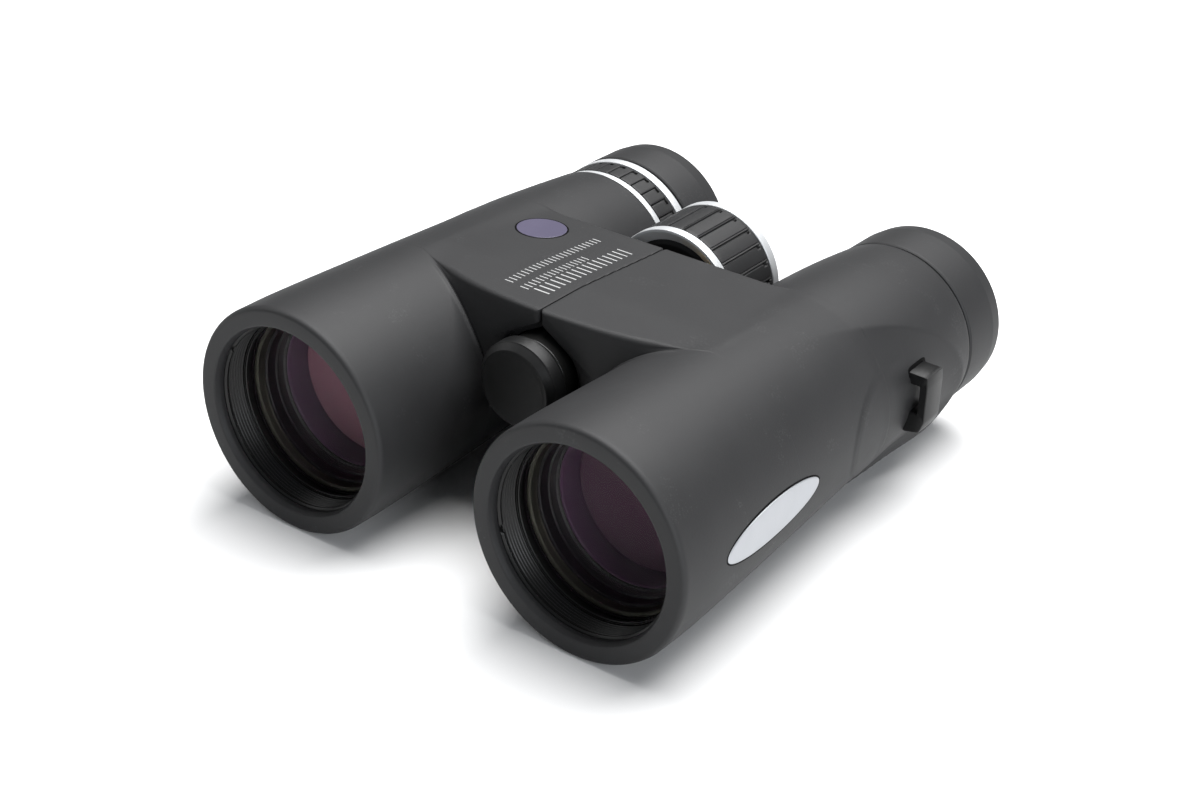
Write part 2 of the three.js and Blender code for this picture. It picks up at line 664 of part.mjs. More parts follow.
// Shaft with the tripod socket in its head, washers between the knuckles, and the cap.
function hingeParts(group) {
  const headFront = bridgeFront + 1;
  const headRear = knuckles().washers[0][0] - gap;
  const socketDepth = headRear - headFront - 1;
  part(group, 'hinge_shaft', turned([
    [0, headRear - 0.8], [socketRadius + socketWall + gap, headRear - 0.8],
    [socketRadius + socketWall + gap, headFront], [shaftHeadRadius, headFront],
    [shaftHeadRadius, headRear], [shaftRadius, headRear], [shaftRadius, wheelRear - 6], [0, wheelRear - 6],
  ], sides.turned), materials.steel);
  part(group, 'tripod_socket',
    ring(socketRadius, socketRadius + socketWall, headFront, headFront + socketDepth - gap), materials.brass);
  knuckles().washers.forEach(([from, driven], k) => {
    const bore = driven ? driveBore : shaftRadius + turnGap;
    part(group, ['front_hinge_washer', 'rear_hinge_washer'][k],
      ring(bore, knuckleRadius - 0.4, from, from + washerHeight), materials.steel);
  });
  const back = bridgeFront - capStand;
  const front = back - capHeight;
  part(group, 'tripod_cap', turned([
    [0, front], [capRadius - 1.8, front], [capRadius - 0.25, front + 1.9], [capRadius, front + 2.5],
    [capRadius, back], [socketRadius - gap, back], [socketRadius - gap, back + capStudLength],
    [0, back + capStudLength],
  ], sides.turned), materials.plastic);
}

function focusParts(group) {
  const rearEnd = wheelRear - 2;
  const coreOuter = wheelRadius - wheelGripDepth;
  const seat = coreOuter + gap;
  const gripFront = wheelFront + wheelRingFront + gap;
  const gripRear = wheelRear - wheelRingRear - gap;
  part(group, 'focus_spindle',
    ring(shaftRadius + turnGap, spindleRadius, driveFront + 1, wheelRear - 7, sides.turned), materials.brass);
  const half = spoolWidth / 2;
  const groove = half - spoolFlange;
  part(group, 'focus_carriage', turned([
    [spindleRadius + turnGap, driveMiddle - half], [spoolRadius, driveMiddle - half],
    [spoolRadius, driveMiddle - groove], [spoolRadius - spoolDepth, driveMiddle - groove],
    [spoolRadius - spoolDepth, driveMiddle + groove], [spoolRadius, driveMiddle + groove],
    [spoolRadius, driveMiddle + half], [spindleRadius + turnGap, driveMiddle + half],
  ], sides.turned), materials.blackMetal);
  part(group, 'focus_wheel', turned([
    [spindleRadius + gap, wheelFront + 0.6], [coreOuter, wheelFront + 0.6], [coreOuter, wheelRear - 0.4],
    [coreOuter - 1.6, wheelRear - 0.4], [coreOuter - 1.6, rearEnd], [spindleRadius + gap, rearEnd],
  ], sides.turned), materials.plastic);
  part(group, 'focus_wheel_cap',
    ring(0, coreOuter - 1.6 - gap, rearEnd + gap, wheelRear - 0.7, sides.turned), materials.plastic);
  part(group, 'focus_wheel_front_ring', turned([
    [seat, wheelFront + 0.6], [wheelRadius - 1, wheelFront], [wheelRadius - 0.2, wheelFront + 0.6],
    [wheelRadius, gripFront - gap], [seat, gripFront - gap],
  ], sides.turned), materials.satinChrome);
  part(group, 'focus_wheel_grip', ring(seat, wheelRadius, gripFront, gripRear, sides.turned), materials.rubber);
  part(group, 'focus_wheel_rear_ring', turned([
    [seat, gripRear + gap], [wheelRadius, gripRear + gap], [wheelRadius - 0.2, wheelRear - 0.5],
    [wheelRadius - 1, wheelRear], [seat, wheelRear],
  ], sides.turned), materials.satinChrome);
}

const binoculars = new THREE.Group();
binoculars.add(barrel('left'), barrel('right'));

const hinge = new THREE.Group();
hinge.position.set(0, -bodyLength / 2, barrelRadius + hingeRise);
hingeParts(hinge);
focusParts(hinge);
binoculars.add(hinge);

export default binoculars;
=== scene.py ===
import json
import math
import bmesh
import bpy
import numpy as np
from mathutils import Matrix, Vector


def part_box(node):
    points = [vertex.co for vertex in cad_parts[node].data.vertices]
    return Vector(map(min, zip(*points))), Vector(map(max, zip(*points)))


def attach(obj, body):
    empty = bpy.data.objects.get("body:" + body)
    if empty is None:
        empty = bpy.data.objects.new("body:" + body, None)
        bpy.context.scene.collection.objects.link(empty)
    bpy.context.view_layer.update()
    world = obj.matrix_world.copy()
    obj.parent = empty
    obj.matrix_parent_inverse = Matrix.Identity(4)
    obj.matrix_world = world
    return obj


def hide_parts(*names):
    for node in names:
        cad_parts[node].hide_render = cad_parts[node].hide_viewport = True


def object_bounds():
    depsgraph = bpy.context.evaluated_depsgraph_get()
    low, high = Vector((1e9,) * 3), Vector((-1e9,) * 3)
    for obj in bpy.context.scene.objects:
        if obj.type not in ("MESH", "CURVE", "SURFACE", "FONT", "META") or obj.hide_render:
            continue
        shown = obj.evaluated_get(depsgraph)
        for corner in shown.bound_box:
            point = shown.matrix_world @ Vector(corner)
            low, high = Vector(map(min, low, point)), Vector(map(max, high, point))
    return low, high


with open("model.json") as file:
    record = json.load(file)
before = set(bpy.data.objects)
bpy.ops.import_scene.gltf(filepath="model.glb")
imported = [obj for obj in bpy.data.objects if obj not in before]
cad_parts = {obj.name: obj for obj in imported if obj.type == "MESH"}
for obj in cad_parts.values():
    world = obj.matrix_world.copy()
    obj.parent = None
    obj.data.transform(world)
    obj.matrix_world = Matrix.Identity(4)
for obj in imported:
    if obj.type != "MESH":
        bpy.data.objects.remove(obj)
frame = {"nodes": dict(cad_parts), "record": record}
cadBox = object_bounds()

# Lengths below are millimetres: s runs along a barrel from its front lip, r is the distance
# from an axis, and angles start outwards (0), go over the top (90) to the hinge side (180).
mm = 0.001
lipY = cadBox[0].y / mm


def span(node):
    low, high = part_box(node)
    return low.y / mm - lipY, high.y / mm - lipY


def outerRadius(node):
    low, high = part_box(node)
    return (high.x - low.x) / mm / 2


def axisOf(node):
    low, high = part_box(node)
    return (low.x + high.x) / mm / 2, (low.z + high.z) / mm / 2


barrelX, barrelZ = axisOf("left_eyecup")
hingeX, hingeZ = axisOf("focus_wheel")
hingeRise = hingeZ - barrelZ
hingeArm = math.hypot(barrelX, hingeRise)
hingeAngle = 180 - math.degrees(math.atan2(hingeRise, barrelX))
widest = barrelZ - cadBox[0].z / mm
wheelRadius = outerRadius("focus_wheel_grip")
barrels = {
    "left": dict(side=1, end=span("left_armor")[1], closing=2.2),
    "right": dict(side=-1, end=span("right_armor")[1], closing=1.25),
}
print("frame read, barrels", round(2 * barrelX, 1), "mm apart")


def clamp(v):
    return np.clip(v, 0, 1)


def smooth(v):
    return clamp(v) ** 2 * (3 - 2 * clamp(v))


# A point at s, r and angle: along Y by s, and round the axis by r at the angle.
def around(s, r, angle, axis, side=1):
    turn = np.radians(angle)
    s, r, turn = np.broadcast_arrays(s, r, turn)
    x = side * (axis[0] + r * np.cos(turn))
    return np.stack([x, lipY + s, axis[1] + r * np.sin(turn)], axis=-1)


# Corners of the quads of a grid, which may close on itself along its rows or its columns.
def gridQuads(rows, columns, wrapRows, wrapColumns):
    i = np.arange(rows if wrapRows else rows - 1)[:, None]
    j = np.arange(columns if wrapColumns else columns - 1)[None, :]
    below, right = (i + 1) % rows, (j + 1) % columns
    corner = [i * columns + j, below * columns + j, below * columns + right, i * columns + right]
    return np.stack([np.broadcast_to(c, (i.size, j.size)) for c in corner], -1).reshape(-1, 4)


# Puts grids of points into one mesh; each grid is (points, wrapRows, wrapColumns, flip).
def meshPiece(name, grids, creaseAngle=30):
    points, quads, start = [], [], 0
    for grid, wrapRows, wrapColumns, flip in grids:
        faces = gridQuads(*grid.shape[:2], wrapRows, wrapColumns)
        quads.append((faces[:, ::-1] if flip else faces) + start)
        points.append(grid.reshape(-1, 3))
        start += len(points[-1])
    points, quads = np.concatenate(points) * mm, np.concatenate(quads)
    mesh = bpy.data.meshes.new(name)
    mesh.vertices.add(len(points))
    mesh.vertices.foreach_set("co", points.astype(np.float32).ravel())
    mesh.loops.add(quads.size)
    mesh.loops.foreach_set("vertex_index", quads.astype(np.int32).ravel())
    mesh.polygons.add(len(quads))
    mesh.polygons.foreach_set("loop_start", np.arange(0, quads.size, 4, dtype=np.int32))
    mesh.update(calc_edges=True)
    closePoles(mesh)
    mesh.shade_smooth()
    mesh.set_sharp_from_angle(angle=math.radians(creaseAngle))
    piece = bpy.data.objects.new(name, mesh)
    bpy.context.scene.collection.objects.link(piece)
    return piece


# Joins the points that lie on each other, so that poles and seams are closed.
def closePoles(mesh):
    work = bmesh.new()
    work.from_mesh(mesh)
    bmesh.ops.remove_doubles(work, verts=work.verts, dist=1e-7)
    work.to_mesh(mesh)
    work.free()


# Rounds the corners of an outline: each corner [s, r, radius] becomes an arc of that radius.
def rounded(corners, steps=5):
    points = []
    count = len(corners)
    for k, (s, r, radius) in enumerate(corners):
        here = np.array([s, r], float)
        before = np.array(corners[k - 1][:2], float) - here
        after = np.array(corners[(k + 1) % count][:2], float) - here
        if radius == 0 or not before.any() or not after.any():
            points.append(here[None])
            continue
        lengths = [np.linalg.norm(before), np.linalg.norm(after)]
        before, after = before / lengths[0], after / lengths[1]
        half = math.acos(np.clip(before @ after, -1, 1)) / 2
        reach = min(radius / math.tan(half), 0.45 * min(lengths))
        t = np.linspace(0, 1, steps)[:, None]
        curve = (1 - t) ** 2 * (here + before * reach) + 2 * t * (1 - t) * here
        points.append(curve + t ** 2 * (here + after * reach))
    return np.concatenate(points)


# Turned surface: the outline of (s, r) points carried round the axis. The outline starts
# at the front inside, goes out, back along the outside and returns along the inside.
def turnedGrid(outline, axis, columns=128, side=1, closed=True):
    angles = np.arange(columns) * 360 / columns
    grid = around(outline[:, :1], outline[:, 1:], angles[None, :], axis, side)
    return grid, closed, True, side < 0


def show(piece, body, slotName, finish, *replaced):
    piece.data.materials.clear()
    piece.data.materials.append(finish)
    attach(piece, body)
    if replaced:
        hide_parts(*replaced)
    return piece


# A shader value that adds Math nodes when it is used in an expression.
class Value:
    def __init__(self, finish, socket):
        self.finish, self.socket = finish, socket

    def __add__(self, other):
        return self.finish.maths("ADD", self, other)

    def __radd__(self, other):
        return self.finish.maths("ADD", other, self)

    def __sub__(self, other):
        return self.finish.maths("SUBTRACT", self, other)

    def __rsub__(self, other):
        return self.finish.maths("SUBTRACT", other, self)

    def __mul__(self, other):
        return self.finish.maths("MULTIPLY", self, other)

    def __rmul__(self, other):
        return self.finish.maths("MULTIPLY", other, self)


# A material built on one Principled shader; values that are the same all over go to the shader.
class Finish:
    def __init__(self, name, fixed):
        self.material = bpy.data.materials.new(name)
        self.material.use_nodes = True
        self.tree = self.material.node_tree
        self.tree.nodes.clear()
        self.shader = self.tree.nodes.new("ShaderNodeBsdfPrincipled")
        out = self.tree.nodes.new("ShaderNodeOutputMaterial")
        self.tree.links.new(self.shader.outputs[0], out.inputs[0])
        for key, value in fixed.items():
            self.shader.inputs[key].default_value = value
        self.place = self.node("ShaderNodeTexCoord", output="Object")

    def node(self, kind, settings=None, values=None, output=0):
        made = self.tree.nodes.new(kind)
        for key, value in (settings or {}).items():
            if key == "stops":
                ramp = made.color_ramp.elements
                while len(ramp) < len(value):
                    ramp.new(0.5)
                for stop, (position, colour) in zip(ramp, value):
                    stop.position, stop.color = position, (*colour, 1)
            else:
                setattr(made, key, value)
        for key, value in (values or {}).items():
            if isinstance(value, Value):
                self.tree.links.new(value.socket, made.inputs[key])
            else:
                made.inputs[key].default_value = value
        return Value(self, made.outputs[output])

    def maths(self, operation, a, b):
        return self.node("ShaderNodeMath", {"operation": operation}, {0: a, 1: b})

    def noise(self, size, detail=2, rough=0.5, stretch=None):
        place = self.place
        if stretch:
            place = self.node("ShaderNodeMapping", {}, {"Vector": place, "Scale": stretch})
        values = {"Vector": place, "Scale": 1 / (size * mm), "Detail": detail, "Roughness": rough}
        return self.node("ShaderNodeTexNoise", {}, values)

    def steps(self, value, low, high):
        values = {"Value": value, "From Min": low, "From Max": high}
        return self.node("ShaderNodeMapRange", {"interpolation_type": "SMOOTHSTEP"}, values)

    def mix(self, factor, first, second):
        values = {0: factor, 6: self.colour(first), 7: self.colour(second)}
        return self.node("ShaderNodeMix", {"data_type": "RGBA"}, values, output=2)

    def colour(self, value):
        return value if isinstance(value, Value) else (*value, 1)

    def feed(self, **values):
        for key, value in values.items():
            self.tree.links.new(value.socket, self.shader.inputs[key.replace("_", " ")])

    def bump(self, height, distance, strength=1):
        values = {"Height": height, "Distance": distance * mm, "Strength": strength}
        self.feed(Normal=self.node("ShaderNodeBump", {}, values))


# Satin rubber: a fine grain, faint cloudy patches of tone and a few lighter rubbed specks.
armourLook = dict(
    dark=(0.0115, 0.0115, 0.0122), light=(0.0165, 0.0165, 0.0172), speck=(0.04, 0.04, 0.041),
    grainSize=0.28, cloudSize=14, grainDepth=0.02, rough=0.5,
)
gripLook = dict(
    armourLook, dark=(0.009, 0.009, 0.0095), light=(0.014, 0.014, 0.0145), grainSize=0.22, rough=0.46,
)


def rubberFinish(name, look):
    f = Finish(name, {"IOR": 1.5, "Specular IOR Level": 0.3})
    grain = f.noise(look["grainSize"], 3, 0.6)
    clouds = f.noise(look["cloudSize"], 3, 0.55)
    rubbed = f.steps(f.noise(0.55, 2, 0.7) * f.steps(f.noise(9, 2), 0.4, 0.7), 0.52, 0.66)
    tone = f.mix(clouds, look["dark"], look["light"])
    f.feed(Base_Color=f.mix(rubbed * 0.35, tone, look["speck"]))
    f.feed(Roughness=look["rough"] + clouds * 0.1 - rubbed * 0.05 + grain * 0.06)
    f.bump(grain + f.noise(look["grainSize"] * 3.1, 2) * 0.7, look["grainDepth"])
    return f.material


# Moulded plastic or painted metal: low orange-peel waves, a fine grain and rubbed places.
def mouldedFinish(name, dark, light, rough, metallic=0.0, gloss=0.35, grain=0.12, depth=0.008):
    f = Finish(name, {"Metallic": metallic, "IOR": 1.5, "Specular IOR Level": gloss})
    peel = f.noise(1.3, 2)
    fine = f.noise(grain, 2, 0.6)
    clouds = f.noise(8, 3)
    f.feed(Base_Color=f.mix(clouds, dark, light), Roughness=rough + clouds * 0.12 + fine * 0.05)
    f.bump(fine + peel * 0.8, depth)
    return f.material


# Satin metal turned or brushed one way: fine lines stretched along one direction and
# a slow change of tone, with faint marks from handling.
def metalFinish(name, dark, light, rough, metallic=1.0, stretch=(1, 40, 1), lineSize=0.5, depth=0.004):
    f = Finish(name, {"Metallic": metallic})
    lines = f.noise(lineSize, 3, 0.7, stretch)
    clouds = f.noise(6, 3)
    marks = f.steps(f.noise(1.1, 4, 0.7), 0.6, 0.75)
    f.feed(Base_Color=f.mix(lines * 0.6 + clouds * 0.4, dark, light))
    f.feed(Roughness=rough + lines * 0.1 + marks * 0.08)
    f.bump(lines + marks * 0.4, depth)
    return f.material


# Coated glass: the colour goes from face, seen square on, to a brighter painted reflection tint seen at a
# slant, and dust and wipe marks dull it a little.
def glassFinish(name, face, slantReflection, opacity, rough=0.03):
    f = Finish(name, {"IOR": 1.52, "Specular IOR Level": 0.35, "Alpha": opacity})
    facing = f.node("ShaderNodeLayerWeight", {}, {"Blend": 0.45}, output="Facing")
    clouds = f.noise(7, 2)
    dust = f.steps(f.noise(0.35, 2, 0.7), 0.7, 0.78)
    f.feed(Base_Color=f.mix(facing, face, slantReflection), Roughness=rough + clouds * 0.03 + dust * 0.1)
    f.bump(clouds, 0.0004)
    return f.material


# Plastics and painted or anodised metals: two tones, roughness, and how metallic and glossy. Among them are
# painted shade, the near-black shadow groove, and a painted reflection, the violet band.
moulded = {
    "housing_casting": dict(name="blackedCasting", dark=(0.008, 0.008, 0.0085), light=(0.013, 0.013, 0.0135),
                            rough=0.42, metallic=0.2),
    "black_metal": dict(name="blackMetal", dark=(0.005, 0.005, 0.005), light=(0.01, 0.01, 0.0095),
                        rough=0.24, metallic=0.2),
    "black_plastic": dict(name="satinPlastic", dark=(0.003, 0.0032, 0.0032), light=(0.005, 0.005, 0.0053),
                          rough=0.36, gloss=0.26),
    "round_badge": dict(name="violetLacquer", dark=(0.05, 0.044, 0.076), light=(0.06, 0.053, 0.09),
                        rough=0.4),
    "shadowGroove": dict(name="shadowGroove", dark=(0.002, 0.002, 0.002), light=(0.004, 0.004, 0.004),
                         rough=0.6, gloss=0.05),
    "greyPrint": dict(name="greyPrint", dark=(0.28, 0.28, 0.28), light=(0.36, 0.36, 0.36),
                      rough=0.5),
    "oliveRim": dict(name="oliveRim", dark=(0.035, 0.035, 0.026), light=(0.06, 0.06, 0.045),
                     rough=0.3, metallic=0.6),
    "violetReflectionBand": dict(name="violetReflectionBand", dark=(0.05, 0.016, 0.048), light=(0.075, 0.024, 0.07),
                       rough=0.3),
}
# Bare metals, with the stretch of their brushed or turned lines.
bareMetals = {
    "satin_chrome": dict(name="satinChrome", dark=(0.48, 0.49, 0.5), light=(0.56, 0.57, 0.58),
                         rough=0.4, metallic=0.5),
    "silver_badge": dict(name="brushedBadge", dark=(0.37, 0.38, 0.4), light=(0.46, 0.47, 0.49),
                         rough=0.46, metallic=0.9, stretch=(6, 1, 6)),
    "brass": dict(name="turnedBrass", dark=(0.3, 0.22, 0.1), light=(0.42, 0.31, 0.15),
                  rough=0.34),
    "steel": dict(name="groundSteel", dark=(0.45, 0.46, 0.47), light=(0.58, 0.59, 0.6),
                  rough=0.3),
}
finishes = {slot: mouldedFinish(**look) for slot, look in moulded.items()}
finishes.update({slot: metalFinish(**look) for slot, look in bareMetals.items()})
finishes.update({
    "armour_rubber": rubberFinish("satinRubber", armourLook),
    "grip_rubber": rubberFinish("gripRubber", gripLook),
    "coated_glass": glassFinish("violetGlass", (0.006, 0.005, 0.006), (0.05, 0.025, 0.042), 0.1),
    "clear_glass": glassFinish("clearGlass", (0.05, 0.06, 0.06), (0.2, 0.22, 0.22), 0.3),
})
# Painted reflection: the one coated rear element is drawn opaque, dim violet in the left barrel and a
# brighter pink in the right, in place of the light its coating reflects. The eye lenses take the dim one.
discReflections = {
    "left": glassFinish("dimCoatingReflection", (0.07, 0.032, 0.056), (0.16, 0.07, 0.12), 1.0, 0.14),
    "right": glassFinish("pinkCoatingReflection", (0.34, 0.16, 0.2), (0.42, 0.19, 0.26), 1.0, 0.14),
}
print("finishes ready", len(finishes))

for subpart in frame["record"]["subparts"]:
    slots = frame["nodes"][subpart["node"]].material_slots
    for materialSlot in slots:
        materialSlot.material = finishes[subpart["material_slot"]]


armour = dict(
    frontRound=1.0, frontDepth=1.5, straight=8, shoulderFall=2.9, shoulderSwell=2.3,
    scoopFront=32, scoopMiddle=-22, scoopUp=97, scoopDown=42, scoopDepth=1.9,
    swellRise=1.1, swellBack=10, swellLong=9, swellTurn=-50, swellWide=28,
    padMiddle=(92, -4), padSize=(23, 36), padRise=0.3, padStep=0.05, padRidge=0.022,
    bridgeFront=37.1, bridgeRear=84.5, bridgeTop=25.3, bridgeLevel=51, bridgeBend=2.5,
    bridgeSlope=2.3 / 33.5, bridgeLow=2.8, bridgeFade=26, foldRelief=33, seamHalf=0.15, seamRound=0.15,
    drumRadius=9.9, recessRadius=10.9,
    crestRound=1.4, blend=0.3, beadHeight=0.34, beadWidth=0.45, beadFrom=95, beadTo=175,
    wheelGap=0.6, lipDepth=2.2, lipInner=24.3, aperture=21.7, apertureFace=22.5, rearInner=19.5,
)


# Distance along a ray from the barrel axis to the near side of a circle about the hinge.
def rayToHinge(angle, radius):
    off = np.radians(angle - hingeAngle)
    inside = radius ** 2 - (hingeArm * np.sin(off)) ** 2
    near = hingeArm * np.cos(off) - np.sqrt(np.maximum(inside, 0))
    return np.where((inside > 0) & (np.cos(off) > 0), near, 1000)


# Barrel radius: a slow taper to the shoulder, a quicker one to the eyepiece, less the thumb
# scoop inside an ellipse of s and angle, plus a swell under it and the pad round the lug.
def barrelRadius(s, angle, barrel):
    a = armour
    turn = (angle + 180) % 360 - 180
    shoulder = a["bridgeRear"] - 2.5
    slow = a["shoulderFall"] * clamp((s - a["straight"]) / (shoulder - a["straight"])) ** 1.3
    quick = a["shoulderSwell"] * clamp((s - shoulder) / (barrel["end"] - shoulder)) ** barrel["closing"]
    side = np.where(turn > a["scoopMiddle"], a["scoopUp"], a["scoopDown"])
    across = (turn - a["scoopMiddle"]) / side
    lengthwise = np.maximum(0, s - a["scoopFront"]) / (barrel["end"] - 2 - a["scoopFront"])
    inside = 1 - np.hypot(across, lengthwise)
    ramp = clamp(inside / (0.5 - 0.37 * smooth((s - 60) / 35)))
    crisp = smooth((s - 45) / 40)
    scoop = a["scoopDepth"] * clamp((s - 12) / 83) * (smooth(ramp) * (1 - crisp) + ramp * (2 - ramp) * crisp)
    along = (s - barrel["end"] + a["swellBack"]) / a["swellLong"]
    about = (turn - a["swellTurn"]) / a["swellWide"]
    swell = a["swellRise"] * np.exp(-(along ** 2) - about ** 2)
    (padS, padTurn), (padLong, padWide) = a["padMiddle"], a["padSize"]
    pad = 1 - np.hypot((s - padS) / padLong, (turn - padTurn) / padWide)
    lip = np.exp(-((pad / a["padRidge"]) ** 2)) * smooth((90 - s) / 8)
    raised = a["padRise"] * (smooth(pad / a["padStep"]) * smooth((padS + 4 - s) / 14) + 0.75 * lip)
    end = smooth((barrel["end"] - s) / 4)
    return widest - slow - quick - scoop + swell * end + raised * end


# Bridge top above the barrel axes: level at the front, then falling to the rear.
def bridgeTop(s):
    a = armour
    fall, bend = np.maximum(0, s - a["bridgeLevel"]), a["bridgeBend"]
    return a["bridgeTop"] - a["bridgeSlope"] * (fall - bend * (1 - np.exp(-fall / bend)))


# Wing outline as a distance from the barrel axis: the nearest of its top, the seam plane,
# the fold relief plane through the hinge, the underside and the drum round the knuckles.
def wingRadius(s, angle, drum):
    a = armour
    turn = np.radians(angle)
    up, inward = np.sin(turn), -np.cos(turn)
    far = 1000.0
    lean = math.tan(math.radians(a["foldRelief"]))
    top = np.where(up > 0.02, bridgeTop(s) / np.maximum(up, 0.02), far)
    seam = np.where(inward > 0.02, (barrelX - a["seamHalf"]) / np.maximum(inward, 0.02), far)
    fold = inward - up * lean
    fold = np.where(fold > 0.02, (barrelX - hingeRise * lean) / np.maximum(fold, 0.02), far)
    low = np.where(up < -0.02, a["bridgeLow"] / np.maximum(-up, 0.02), far)
    upper = np.minimum(softLess(top, seam, a["seamRound"]), fold)
    outline = np.minimum(upper, np.minimum(low, rayToHinge(angle, drum)))
    crest = bridgeTop(s) * (1 - ((90 - angle) / a["bridgeFade"]) ** 2)
    return np.where(angle < 90, np.maximum(crest, 0), outline)


# The smaller of two distances, rounded over where they meet.
def softLess(first, second, width):
    return 0.5 * (first + second - np.sqrt((first - second) ** 2 + width ** 2))


# The larger of two distances, with the same rounding.
def softMore(first, second, width):
    return 0.5 * (first + second + np.sqrt((first - second) ** 2 + width ** 2))


# Where the bridge's front face starts on the barrel, and where its rounded crest ends on top.
def faceStations(angle):
    a = armour
    turn = np.where(angle < 90, 90, np.where(angle > 200, 150 - 60 * smooth((angle - 200) / 70), angle))
    foot = a["bridgeFront"] + 4.9 * (clamp((150 - turn) / 45 * 0.75) / 0.75) ** 1.6
    return foot, foot + 0.35 + 1.5 * smooth((turn - 92) / 26)


# The armour as rows of s and r for every angle: lip, barrel, bead, bridge face, bridge top,
# rear face, barrel, end and the inner wall back to the lip.
def armourGrid(barrel):
    a = armour
    corner = 180 - math.degrees(math.atan2(a["bridgeTop"], barrelX - a["seamHalf"]))
    drumTop = hingeAngle - math.degrees(math.asin(a["drumRadius"] / hingeArm))
    angles = np.concatenate([
        np.linspace(-90, 92, 150), np.linspace(93, corner - 3, 44), np.linspace(corner - 2, corner + 2, 17),
        np.linspace(corner + 2.5, drumTop - 0.01, 5), np.linspace(drumTop + 0.01, 177.5, 24),
        np.linspace(177.7, 191, 16), np.linspace(193, 268, 38),
    ])[None, :]
    foot, crest = faceStations(angles)
    crestEnd = a["bridgeRear"] - 1.3
    rearFoot = a["bridgeRear"] + 0.8
    end = barrel["end"]

    def skin(s, drum=None):
        base = barrelRadius(s, angles, barrel)
        edge = a["frontRound"] * (1 - np.sqrt(1 - clamp(1 - s / a["frontDepth"]) ** 2))
        bead = a["beadHeight"] * np.exp(-(((s - foot + 0.7) / a["beadWidth"]) ** 2))
        rise = smooth(wingRadius(s, angles, a["recessRadius"]) - base)
        beaded = (s < foot) & (angles > a["beadFrom"]) & (angles < a["beadTo"])
        bare = base - edge + np.where(beaded, bead * rise, 0)
        bare = np.where((s > rearFoot) & (s < 110.8),
                        np.minimum(bare, rayToHinge(angles, wheelRadius + a["wheelGap"])), bare)
        return bare if drum is None else softMore(bare, wingRadius(s, angles, drum), a["blend"])

    def flat(s, r):
        return np.full(angles.shape, float(s)), np.full(angles.shape, float(r))

    rows = [flat(a["lipDepth"], a["lipInner"]), flat(a["lipDepth"], a["aperture"])]
    rows += [flat(1.5, a["aperture"]), flat(1.1, a["aperture"] + 0.05), flat(0.15, a["apertureFace"] - 0.2)]
    rows += [flat(0.03, a["apertureFace"]), flat(0, a["apertureFace"] + 0.3)]
    rows.append(flat(0, widest - a["frontRound"] - 0.35))
    for s in (0, 0.03, 0.1, 0.21, 0.37, 0.58, 0.85, 1.15, 1.5, 2.0):
        rows.append((np.full(angles.shape, s), skin(np.full(angles.shape, s))))
    for t in np.linspace(0.03, 1, 30):
        s = 2 + (foot - 1.9 - 2) * t
        rows.append((s, skin(s)))
    for step in (1.5, 1.2, 0.95, 0.7, 0.45, 0.2, 0):
        rows.append((foot - step, skin(foot - step)))
    base, top = skin(foot), skin(crest, a["recessRadius"])
    rise = top - base
    turnR = np.minimum(a["crestRound"], 0.6 * rise)
    turnS = 0.75 * (crest - foot)
    for t in (0.2, 0.4, 0.6, 0.8, 1):
        rows.append((foot + (crest - turnS - foot) * t, base + (rise - turnR) * t))
    for turn in np.radians(np.linspace(0, 90, 8)[1:]):
        rows.append((crest - turnS * math.cos(turn), top - turnR * (1 - math.sin(turn))))
    for t in np.linspace(0.003, 1, 70):
        s = crest + (crestEnd - crest) * t
        rows.append((s, skin(s, a["drumRadius"])))
    top, base = skin(crestEnd + 0 * angles, a["drumRadius"]), skin(rearFoot + 0 * angles)
    rise = top - base
    turnR = np.minimum(1.2, 0.6 * rise)
    for turn in np.radians(np.linspace(0, 90, 7)[1:]):
        rows.append((crestEnd + 1.3 * np.sin(turn) + 0 * angles, top - turnR * (1 - np.cos(turn))))
    for t in (0.25, 0.5, 0.75, 0.9, 1):
        s = a["bridgeRear"] + (rearFoot - a["bridgeRear"]) * t ** 4 + 0 * angles
        rows.append((s, top - turnR - (rise - turnR) * t))
    for t in np.linspace(0.02, 1, 64):
        s = rearFoot + (end - 0.5 - rearFoot) * t + 0 * angles
        rows.append((s, skin(s)))
    last = skin(end - 0.5 + 0 * angles)
    rows += [(end - 0.15 + 0 * angles, last - 0.12), (end + 0 * angles, last - 0.45)]
    rows += [flat(end, a["rearInner"]), flat(end - 20, a["rearInner"]), flat(45, 21.3), flat(34, 23.6)]
    s, r = (np.stack([row[k][0] for row in rows]) for k in (0, 1))
    return around(s, r, angles, (barrelX, barrelZ), barrel["side"]), True, True, barrel["side"] < 0


for name, barrel in barrels.items():
    piece = meshPiece(name + "Armour", [armourGrid(barrel)], 28)
    show(piece, name + "_barrel", "armour_rubber", finishes["armour_rubber"], name + "_armor")
print("armour made")


objective = dict(
    sleeveOuter=23.8, sleeveBore=21.95, sleeveEdge=2.45, threadFrom=3.5, threadTo=8.1, threadPitch=0.8,
    threadDepth=0.42, notch=(195, 30), notchHalf=1.3, ringInner=20.9, glassFront=9.9, dome=1.3,
    cellFrom=10.0, cellOuter=21.6, rimTo=13.2, throatFrom=18.4, throatTo=25.3, throatRadius=17.8,
    disc=17.3, discAt=24.4,
)
housing = dict(knuckleRadius=9.5, knuckleLength=7, chamfer=0.5, knuckleBore=6.6, knuckleFrom=35.2, gap=0.3)


